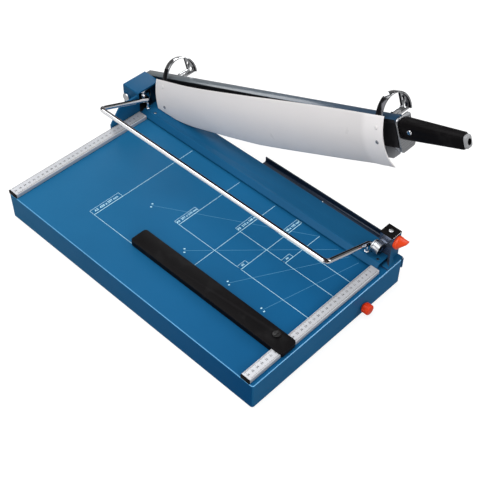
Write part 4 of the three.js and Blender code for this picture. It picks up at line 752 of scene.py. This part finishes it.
class CUTTER_OT_scales(bpy.types.Operator):
    """Dress the two scale bars, with graduations along both edges and numbers between"""

    bl_idname = "cutter.scales"
    bl_label = "Scale Bars"

    def execute(self, context):
        sizes = context.scene.cutter_sizes
        tree = graduation_tree(finish("black_ink"))
        for end, count in ROW_COUNTS.items():
            dress(end + "_scale_bar", "aluminium", 0.2)
            dress(end + "_scale_plug", "moulding", 0.3)
            low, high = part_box(end + "_scale_bar")
            shape = bmesh.new()
            for turn, start, first, edge in (
                    (math.pi, ROW_FROM, ROW_FROM_FIRST, high.y - MARKS_INSET),
                    (0.0, ROW_TO, ROW_TO_FIRST, low.y + MARKS_INSET)):
                own = (end == "front") == (turn > 0)
                marks = grown(tree, end + "_graduations", {
                    "Count": count, "First": first, "Pitch": MM, "Width": sizes.tick_width,
                    "Length": OWN_MARKS if own else OTHER_MARKS, "Height": sizes.ink_height})
                place = Matrix.Translation((CUT_LINE - start * MM, edge, high.z))
                add_mesh(shape, marks, place @ Matrix.Rotation(turn, 4, "Z"))
            for distance in NUMBERED:
                place = Vector((CUT_LINE - distance * MM, (low.y + high.y) / 2, high.z))
                add_lettering(shape, str(distance // 10), sizes.digit_height, sizes.ink_height,
                              DIGIT_WEIGHT, place)
            finished(end + "_scale_print", shape, "base", "black_ink")
        return {"FINISHED"}


class CUTTER_OT_backstop(bpy.types.Operator):
    """Dress the backstop and its knob"""

    bl_idname = "cutter.backstop"
    bl_label = "Backstop"

    def execute(self, context):
        # Its upper edges are painted paler as a painted highlight
        dress("backstop", ["moulding", "worn_edge"], 0.8, 3,
              choose=lambda face: 0.2 < face.normal.z < 0.95)
        dress("backstop_knob", "knob", 0.4)
        return {"FINISHED"}


SPRING_WIRE, SPRING_TURNS, SPRING_SPARE = 0.5 * MM, 3.0, 0.1 * MM
# The bail's rod, turned down in its bearings, and the rod of its frame node
ROD_RADIUS, JOURNAL_RADIUS, NODE_ROD = 4.4 * MM, 4 * MM, 4 * MM
ROD_BEND = 8 * MM
BAIL_ARMS = (18, 562)  # places v of its two arms


class CUTTER_OT_press(bpy.types.Operator):
    """Dress the press beam, its springs and pins, the bail and its bearings"""

    bl_idname = "cutter.press"
    bl_label = "Press"

    def execute(self, context):
        # Beam's upper left edge: painted highlight; front bearing's ends: painted dark reflection
        dress("press_beam", ["fitting", "table"], 0.7,
              choose=lambda face: face.normal.x < -0.2 and 0.75 < face.normal.z < 0.97)
        coil = coil_tree(finish("steel"))
        for end, looks, slot in (("front", ["steel", "smoked"], "chrome"),
                                 ("rear", "chrome", "steel")):
            dress(f"tappet_{end}", "chrome", 0.3)
            dress(f"beam_guide_pin_{end}", "steel", 0.3)
            dress(f"bail_bearing_{end}", looks, 0.5,
                  choose=lambda face: abs(face.normal.y) > 0.8)
            self.spring(coil, f"beam_lift_spring_{end}")
        self.bail()
        return {"FINISHED"}

    def spring(self, tree, node):
        """A coil in the place of its frame node."""
        low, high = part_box(node)
        coil = grown(tree, node + "_look", {
            "Turns": SPRING_TURNS, "Radius": (high.x - low.x) / 2 - SPRING_WIRE,
            "Height": high.z - low.z - 2 * SPRING_WIRE, "Wire": SPRING_WIRE})
        foot = ((low.x + high.x) / 2, (low.y + high.y) / 2, low.z)
        coil.transform(Matrix.Translation((foot[0], foot[1], low.z + SPRING_WIRE)))
        spring = finished(node + "_look", coil, "base", "steel", [node])
        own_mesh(spring)

    def bail(self):
        """The bent rod, along the same corners as its frame node."""
        hinge = Vector(JOINTS["bail_press"]["pos_m"])
        low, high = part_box("press_bail")
        far, top = low.x + NODE_ROD, high.z - NODE_ROD
        front, rear = (on_table(0, v).y for v in BAIL_ARMS)
        corners = [(hinge.x, low.y, hinge.z), (hinge.x, front, hinge.z), (far, front, top),
                   (far, rear, top), (hinge.x, rear, hinge.z), (hinge.x, high.y, hinge.z)]
        path = bpy.data.meshes.new("bail_path")
        path.from_pydata(corners, [(count, count + 1) for count in range(len(corners) - 1)], [])
        rod = grown(rod_tree(finish("chrome")), "press_bail_look",
                    {"Radius": ROD_RADIUS, "Bend": ROD_BEND}, path)
        for vertex in rod.vertices:
            out = vertex.co - Vector((hinge.x, vertex.co.y, hinge.z))
            if out.length < 1.05 * ROD_RADIUS:
                vertex.co -= out * (1 - JOURNAL_RADIUS / ROD_RADIUS)
        for face in rod.polygons:
            # Shade along the long bar's upper side, glint along its left, and shade on the arms
            off = (face.center - Vector((far, face.center.y, top))) / ROD_RADIUS
            if off.length < 1.1 and off.z > -0.5:
                shaded = off.x > -0.4 and off.z > 0
                face.material_index = 1 if shaded else 2 if off.x < -0.7 else 0
            elif face.center.x > far + 3 * ROD_RADIUS:
                face.material_index = int(-0.35 < face.normal.y < 0.35 and face.normal.z > 0)
        finished("press_bail_look", rod, "press_bail", ["chrome", "shade", "glint"],
                 ["press_bail"])


HOOD_FOOT, HOOD_FRONT = 4 * MM, 12 * MM  # no painted shade below or ahead of these


class CUTTER_OT_pivot(bpy.types.Operator):
    """Dress the pivot bracket, its bolts and the arm's pivot"""

    bl_idname = "cutter.pivot"
    bl_label = "Pivot"

    def execute(self, context):
        dress("pivot_bracket", ["fitting", "dark"], 0.8, 3, choose=self.inside)
        for count in (1, 2):
            dress(f"bracket_bolt_{count}", "steel", 0.4)
        dress("pivot_bolt", "chrome", 0.5)
        dress("disc_spring", "black_steel", 0.2)
        dress("pivot_nut", "steel", 0.5)
        return {"FINISHED"}

    def inside(self, face):
        """Whether a face is inside the hood, where it is painted dark as painted shade."""
        low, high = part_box("pivot_bracket")
        place, normal = face.center, face.normal
        enclosed = (TABLE_TOP + HOOD_FOOT < place.z < high.z - ON_EDGE
                    and place.y < high.y - ON_EDGE)
        inward = (normal.z < -0.5 or normal.x > 0.5
                  or (normal.y < -0.5 and place.y > low.y + HOOD_FRONT))
        return enclosed and inward


class CUTTER_OT_post(bpy.types.Operator):
    """Dress the front bracket, its cap and the lock lever"""

    bl_idname = "cutter.post"
    bl_label = "Front Bracket"

    def execute(self, context):
        # Left faces above the table: painted reflection; the cap's front edge: painted glint
        dress("front_bracket", ["fitting", "plate"], 0.5,
              choose=lambda face: face.normal.x < -0.7 and face.center.z > TABLE_TOP)
        dress("bracket_cap", ["moulding", "glint"], 0.8,
              choose=lambda face: face.normal.y < -0.25 and face.normal.z > 0.2)
        dress("cap_screw", "steel", 0.2)
        dress("lock_lever", "signal", 0.8, 3)
        dress("lock_lever_pin", "steel", 0)
        return {"FINISHED"}


HANDLE_CREASE = math.radians(40)
LUGS = 19  # place x right of which the arm's faces are the guard's lugs
CAP_SIDES = 48
CAP_SQUARE = 4  # the power that squares the cap's section
RECESS_OVAL = 1.25  # the recess's height by its width
RECESS_DEPTH, RECESS_REACH = 0.2 * MM, 5.5 * MM  # a face deeper and nearer the middle is in it
GROUND, GROUND_CUT = -30.3, 0.3  # height h where the blade's ground edge starts, and half its line


class CUTTER_OT_arm(bpy.types.Operator):
    """Dress the arm, its blade, end plate and handle"""

    bl_idname = "cutter.arm"
    bl_label = "Arm"

    def execute(self, context):
        beam = dress("arm_beam", ["arm", "black_steel", "chrome"], 0.6,
                     choose=self.side)
        low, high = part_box("arm_beam")
        # Painted reflection: the coat goes over into pale grey towards the rear
        write_share(beam.data, "rear_pale", lambda place: (place.y - low.y) / (high.y - low.y))
        for count in range(1, 4):
            dress(f"blade_screw_{count}", "black_steel", 0.4)
        dress("end_plate", "steel", 0.4)
        dress("handle", "moulding", 0.5, 3, HANDLE_CREASE)
        dress("handle_screw", "chrome", 0.2)
        self.end_cap()
        self.blade()
        return {"FINISHED"}

    def side(self, face):
        """An arm face's finish: paint, black on the blade's side or bright on the lugs."""
        return 2 if face.center.x > CUT_LINE + LUGS * MM else int(face.normal.x < -0.7)

    def end_cap(self):
        """The handle's end cap: a rounded block with a round black recess in its end face."""
        node = frame["nodes"]["handle_end_cap"].data
        end_face = max(node.polygons, key=lambda face: -face.center.y - face.normal.y * 0.01)
        ahead = end_face.normal.normalized()
        across = Vector((1, 0, 0))
        across = (across - ahead * across.dot(ahead)).normalized()
        up = across.cross(ahead)
        middle = sum((vertex.co for vertex in node.vertices), Vector()) / len(node.vertices)
        reach = [[(vertex.co - middle).dot(way) for vertex in node.vertices]
                 for way in (ahead, across, up)]
        start, end = min(reach[0]), max(reach[0])
        wide, tall = max(reach[1]), max(reach[2])
        rings = []
        # Rings: place along the cap, share of its full section, and radius of the recess or 0
        for depth, share, hole in (
                (start, 1, 0), (end - 1.4 * MM, 0.97, 0), (end - 0.4 * MM, 0.9, 0),
                (end, 0.8, 0), (end, 1, 4.4 * MM), (end - 0.5 * MM, 1, 4.0 * MM),
                (end - 4 * MM, 1, 3.9 * MM)):
            ring = []
            for step in range(CAP_SIDES):
                angle = 2 * math.pi * step / CAP_SIDES
                x, z = math.cos(angle), math.sin(angle)
                if hole:
                    x, z = hole * x, hole * RECESS_OVAL * z
                else:
                    out = (abs(x) ** CAP_SQUARE + abs(z) ** CAP_SQUARE) ** (-1 / CAP_SQUARE)
                    x, z = wide * share * out * x, tall * share * out * z
                ring.append(middle + ahead * depth + across * x + up * z)
            rings.append(ring)
        shape = loft(rings)
        for face in shape.faces:
            off = face.calc_center_median() - middle
            face.material_index = int(off.dot(ahead) < end - RECESS_DEPTH
                                      and off.cross(ahead).length < RECESS_REACH)
        finished("handle_end_cap_look", shape, "arm", ["cap", "moulding"], ["handle_end_cap"])

    def blade(self):
        """The blade, black above and bright along the ground edge."""
        mesh = rounded(merged_copy("upper_blade"), 0.12, 1)
        mesh.materials.clear()
        shape = bmesh.new()
        shape.from_mesh(mesh)
        bpy.data.meshes.remove(mesh)
        for height in (GROUND + GROUND_CUT, GROUND - GROUND_CUT):
            bmesh.ops.bisect_plane(
                shape, geom=shape.verts[:] + shape.edges[:] + shape.faces[:],
                plane_co=PIVOT + ARM_UP * height * MM, plane_no=ARM_UP)
        for face in shape.faces:
            off = face.calc_center_median() - PIVOT
            if off.dot(ARM_UP) < GROUND * MM and off.dot(ARM_AHEAD) > 0:
                face.material_index = 1
        finished("upper_blade_look", shape, "arm", ["black_steel", "knife"], ["upper_blade"])


# The guard, as in the frame: its ends s, its rise and drop from the pivot's height, and the
# places of its upper and lower edges, as shares of its length and of the rise or drop
GUARD_REAR, GUARD_FRONT = 46.0, 604.0
GUARD_RISE, GUARD_DROP = 26, 65
GUARD_TOP = [(0, 0.86), (0.18, 0.74), (0.4, 0.82), (0.62, 0.96), (0.82, 1.06), (1, 1.1)]
GUARD_EDGE = [(0, 0.492), (0.025, 0.577), (0.061, 0.692), (0.086, 0.777), (0.12, 0.845),
              (0.17, 0.9), (0.263, 0.946), (0.37, 0.98), (0.486, 1), (0.6, 0.99),
              (0.733, 0.969), (0.87, 0.96), (1, 0.954)]
# Its section is an arc whose radius narrows towards the handle from a share of its length on
GUARD_SHEET, GUARD_RADIUS, GUARD_NARROWING, NARROWS_FROM = 2, 116, 39, 0.486
# The bows that carry it: their middle (x, h), radius, half sheet, gap and where the guard meets
BOW_X, BOW_H, BOW_RADIUS, BOW_HALF, BOW_GAP = 27.5, 11, 36.2, 1.25, 0.3
BOW_MEET = math.radians(140.5)
# Its front end is set out evenly from one place s, and more steeply from another, each up to this
FLARE_FROM, STEEP_FROM = 566, 580
FLARE, STEEP_FLARE = 1.5, 1.8
# The guard's paler front band is a painted highlight
BAND_FROM, BAND_FULL = 560, 570  # places s where its paler front band starts and is full
GUARD_STEPS, GUARD_ROWS = 110, 30
GUARD_FOLD = math.radians(50)


def ramp(value, start, end):
    """How far a value is from start to end, from 0 to 1."""
    return min(max((value - start) / (end - start), 0.0), 1.0)


def guard_point(share, height, depth):
    """A point (x, h) of the guard's section at a share of its length, inwards by a depth."""
    narrowed = max(share - NARROWS_FROM, 0) / (1 - NARROWS_FROM)
    radius = GUARD_RADIUS - GUARD_NARROWING * narrowed
    reach = radius - GUARD_SHEET - BOW_GAP - BOW_HALF - BOW_RADIUS
    x, h = BOW_X - reach * math.cos(BOW_MEET), BOW_H - reach * math.sin(BOW_MEET)
    angle = math.pi - math.asin((height - h) / radius)
    return x + (radius - depth) * math.cos(angle), h + (radius - depth) * math.sin(angle)


def smoothly(places, share):
    """The value of a smooth curve through places, each (share, value)."""
    count = next(count for count in range(len(places) - 1)
                 if share <= places[count + 1][0] or count == len(places) - 2)
    (a, first), (b, second) = places[count], places[count + 1]
    before, after = places[max(count - 1, 0)], places[min(count + 2, len(places) - 1)]
    t = (share - a) / (b - a)
    slope = (second - before[1]) / (b - before[0]) * (b - a)
    next_slope = (after[1] - first) / (after[0] - a) * (b - a)
    t2, t3 = t * t, t * t * t
    return ((2 * t3 - 3 * t2 + 1) * first + (t3 - 2 * t2 + t) * slope
            + (3 * t2 - 2 * t3) * second + (t3 - t2) * next_slope)


class CUTTER_OT_guard(bpy.types.Operator):
    """Dress the blade guard, its bows, pins and rivets"""

    bl_idname = "cutter.guard"
    bl_label = "Blade Guard"

    def execute(self, context):
        self.shell()
        for end, lean in (("rear", -0.7), ("front", -0.3)):
            # A bow's faces get a painted dark reflection where they lean further left than this
            dress(f"guard_bow_{end}", ["bow", "smoked"], 0.35,
                  choose=lambda face: face.normal.x < lean)
            dress(f"guard_pin_{end}", "steel", 0.3)
            rivets = (f"guard_rivet_{end}_{count}" for count in (1, 2))
            lower, upper = sorted(rivets, key=lambda node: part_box(node)[0].z)
            dress(lower, "steel", 0.2)
            dress(upper, "guard", 0.2)
        return {"FINISHED"}

    def shell(self):
        """The arched shell, finely divided, set out a little along its front end."""
        rings = []
        for step in range(GUARD_STEPS + 1):
            share = 0.5 - 0.5 * math.cos(math.pi * step / GUARD_STEPS)
            s = GUARD_REAR + (GUARD_FRONT - GUARD_REAR) * share
            low = -GUARD_DROP * smoothly(GUARD_EDGE, share)
            top = GUARD_RISE * smoothly(GUARD_TOP, share)
            flare = (FLARE * ramp(s, FLARE_FROM, STEEP_FROM)
                     + STEEP_FLARE * ramp(s, STEEP_FROM, GUARD_FRONT) ** 2)
            outer, inner = [], []
            for row in range(GUARD_ROWS + 1):
                part = row / GUARD_ROWS
                height = top + (low - top) * part
                lean = flare * part ** 3
                for side, depth in ((outer, 0), (inner, GUARD_SHEET)):
                    x, h = guard_point(share, height, depth - lean)
                    side.append(on_arm(x, s, h))
            rings.append(outer + inner[::-1])
        mesh = rounded(to_mesh(loft(rings), "guard_shell_look"), 0.5, 2, GUARD_FOLD)
        # Painted highlight: a paler band along the front end
        write_share(mesh, "front_band", lambda place: ramp(
            (place - PIVOT).dot(ARM_AHEAD) / MM, BAND_FROM, BAND_FULL))
        finished("guard_shell_look", mesh, "guard", "guard", ["guard_shell"],
                 GUARD_FOLD)


class CUTTER_OT_strip_gauge(bpy.types.Operator):
    """Dress the strip gauge, its rods, guides and knob"""

    bl_idname = "cutter.strip_gauge"
    bl_label = "Strip Gauge"

    def execute(self, context):
        dress("strip_gauge_rail", "rail", 0.3)
        for end in ("front", "rear"):
            dress(f"gauge_rod_{end}", "steel", 0.4)
            dress(f"gauge_guide_{end}", "aluminium", 0.5)
        dress("gauge_knob", "deep_signal", 0.3)
        return {"FINISHED"}


# The camera: its lens, its sensor, the nearest and farthest that it shows, and its table place
# and directions, found from the photograph
LENS, SENSOR = 73.74, 36
NEAREST, FARTHEST = 0.05, 50
CAMERA_PLACE = (-999.2, -603.9, 1212.9)
CAMERA_AHEAD, CAMERA_RIGHT = (0.4989, 0.4772, -0.7234), (0.6959, -0.7181, 0.0062)
# Lamps: name, place, size and power
LAMPS = [
    ("Top softbox", (-0.5, 0.4, 2.0), 2.4, 44), ("Left softbox", (-1.7, -0.3, 0.6), 0.7, 5),
    ("Right softbox", (1.0, -1.45, 1.0), 0.8, 10),
    ("Front softbox", (-0.8, -1.7, 0.8), 0.8, 9), ("Back softbox", (1.05, 1.4, 0.75), 0.6, 5),
]
AIM = Vector((0, 0, 0.05))
FLOOR_REACH = 20.0
FLOOR_GREY, FLOOR_ROUGH = (0.3, 0.3, 0.3, 1), 0.9
FLOOR_MIRRORED = 0.12  # how bright the floor is in a reflection
# The floor's share of white near the cutter, which goes up to white between two distances
FLOOR_DIM, DIM_UNTIL, WHITE_FROM = 0.8, 0.9, 2.2
WORLD_LIGHT = 0.12  # how much light the white background gives
# The background's share of white in a reflection, which goes up to white between two heights
COVE_DIM, COVE_LOW, COVE_HIGH = 0.05, 0.5, 0.72


class CUTTER_OT_stage(bpy.types.Operator):
    """Set the camera, the lamps, the floor and the white background"""

    bl_idname = "cutter.stage"
    bl_label = "Stage"

    def execute(self, context):
        self.camera(context.scene)
        self.floor()
        self.lamps()
        self.background(context.scene)
        return {"FINISHED"}

    def camera(self, scene):
        """The photograph's camera, from its place, direction and roll."""
        data = bpy.data.cameras.new("Camera")
        data.sensor_width = SENSOR
        data.lens = LENS
        data.clip_start, data.clip_end = NEAREST, FARTHEST
        ahead = Vector(CAMERA_AHEAD).normalized()
        right = Vector(CAMERA_RIGHT).normalized()
        right = (right - ahead * right.dot(ahead)).normalized()
        turn = Matrix((right, right.cross(ahead), -ahead)).transposed().to_4x4()
        camera = linked("Camera", data)
        camera.matrix_world = Matrix.Translation(on_table(*CAMERA_PLACE)) @ turn
        scene.camera = camera

    def floor(self):
        """A floor that is lit, and white where it is seen."""
        mesh = bpy.data.meshes.new("Floor")
        corners = [(x * FLOOR_REACH, y * FLOOR_REACH, 0)
                   for x, y in ((-1, -1), (1, -1), (1, 1), (-1, 1))]
        mesh.from_pydata(corners, [], [(0, 1, 2, 3)])
        floor = linked("Floor", mesh)
        material = bpy.data.materials.new("Pale floor")
        material.use_nodes = True
        maker = TreeMaker(material.node_tree)
        shader = maker.tree.nodes["Principled BSDF"]
        maker.feed(shader, "Base Color", FLOOR_GREY)
        maker.feed(shader, "Roughness", FLOOR_ROUGH)
        path = maker.add("ShaderNodeLightPath")
        mirrored = maker.math("MULTIPLY", path.outputs["Is Glossy Ray"], FLOOR_MIRRORED)
        shown = maker.math("MAXIMUM", maker.seen(path), mirrored)
        distance = maker.add("ShaderNodeVectorMath", {"operation": "LENGTH"},
                             **{"0": maker.place()})
        level = maker.spread(distance.outputs["Value"], DIM_UNTIL, WHITE_FROM, FLOOR_DIM)
        glow = maker.add("ShaderNodeEmission", Strength=maker.math("MULTIPLY", shown, level))
        total = maker.add("ShaderNodeAddShader", **{"0": shader, "1": glow})
        maker.feed(maker.tree.nodes["Material Output"], "Surface", total)
        mesh.materials.append(material)

    def lamps(self):
        """Soft lamps round the cutter, all turned to it."""
        for name, place, size, power in LAMPS:
            data = bpy.data.lights.new(name, "AREA")
            data.size = size
            data.energy = power
            lamp = linked(name, data)
            lamp.location = place
            lamp.rotation_euler = (AIM - Vector(place)).to_track_quat("-Z", "Y").to_euler()

    def background(self, scene):
        """A background that is white where it is seen, and darker low down in a reflection."""
        world = bpy.data.worlds.new("World")
        scene.world = world
        world.use_nodes = True
        maker = TreeMaker(world.node_tree)
        path = maker.add("ShaderNodeLightPath")
        place = maker.add("ShaderNodeTexCoord").outputs["Generated"]
        height = maker.add("ShaderNodeSeparateXYZ", Vector=place)
        cove = maker.spread(height.outputs["Z"], COVE_LOW, COVE_HIGH, COVE_DIM)
        mirrored = maker.math("MULTIPLY", path.outputs["Is Glossy Ray"], cove)
        shown = maker.math("MAXIMUM", maker.seen(path), mirrored)
        back = world.node_tree.nodes["Background"]
        maker.feed(back, "Strength", maker.math("MAXIMUM", shown, WORLD_LIGHT))
        maker.feed(back, "Color", WHITE)


class CUTTER_PT_looks(bpy.types.Panel):
    """The cutter's colours, sizes and pieces"""

    bl_label = "Paper Cutter"
    bl_space_type = "VIEW_3D"
    bl_region_type = "UI"
    bl_category = "Cutter"

    def draw(self, context):
        for settings in (context.scene.cutter_paint, context.scene.cutter_sizes):
            for name in settings.__annotations__:
                self.layout.prop(settings, name)
        for operator in PIECES:
            self.layout.operator(operator.bl_idname)


SETTINGS = {"cutter_paint": CutterPaint, "cutter_sizes": CutterSizes}
PIECES = [CUTTER_OT_stage, CUTTER_OT_table, CUTTER_OT_print, CUTTER_OT_scales, CUTTER_OT_backstop,
          CUTTER_OT_press, CUTTER_OT_pivot, CUTTER_OT_post, CUTTER_OT_arm, CUTTER_OT_guard,
          CUTTER_OT_strip_gauge]


def register():
    for cls in [*SETTINGS.values(), *PIECES, CUTTER_PT_looks]:
        bpy.utils.register_class(cls)
    for name, settings in SETTINGS.items():
        setattr(bpy.types.Scene, name, bpy.props.PointerProperty(type=settings))


def unregister():
    for name in SETTINGS:
        delattr(bpy.types.Scene, name)
    for cls in reversed([*SETTINGS.values(), *PIECES, CUTTER_PT_looks]):
        bpy.utils.unregister_class(cls)


def main():
    register()
    bpy.context.scene.view_settings.view_transform = "Standard"
    for operator in PIECES:
        group, name = operator.bl_idname.split(".")
        getattr(getattr(bpy.ops, group), name)()


if __name__ == "__main__":
    main()
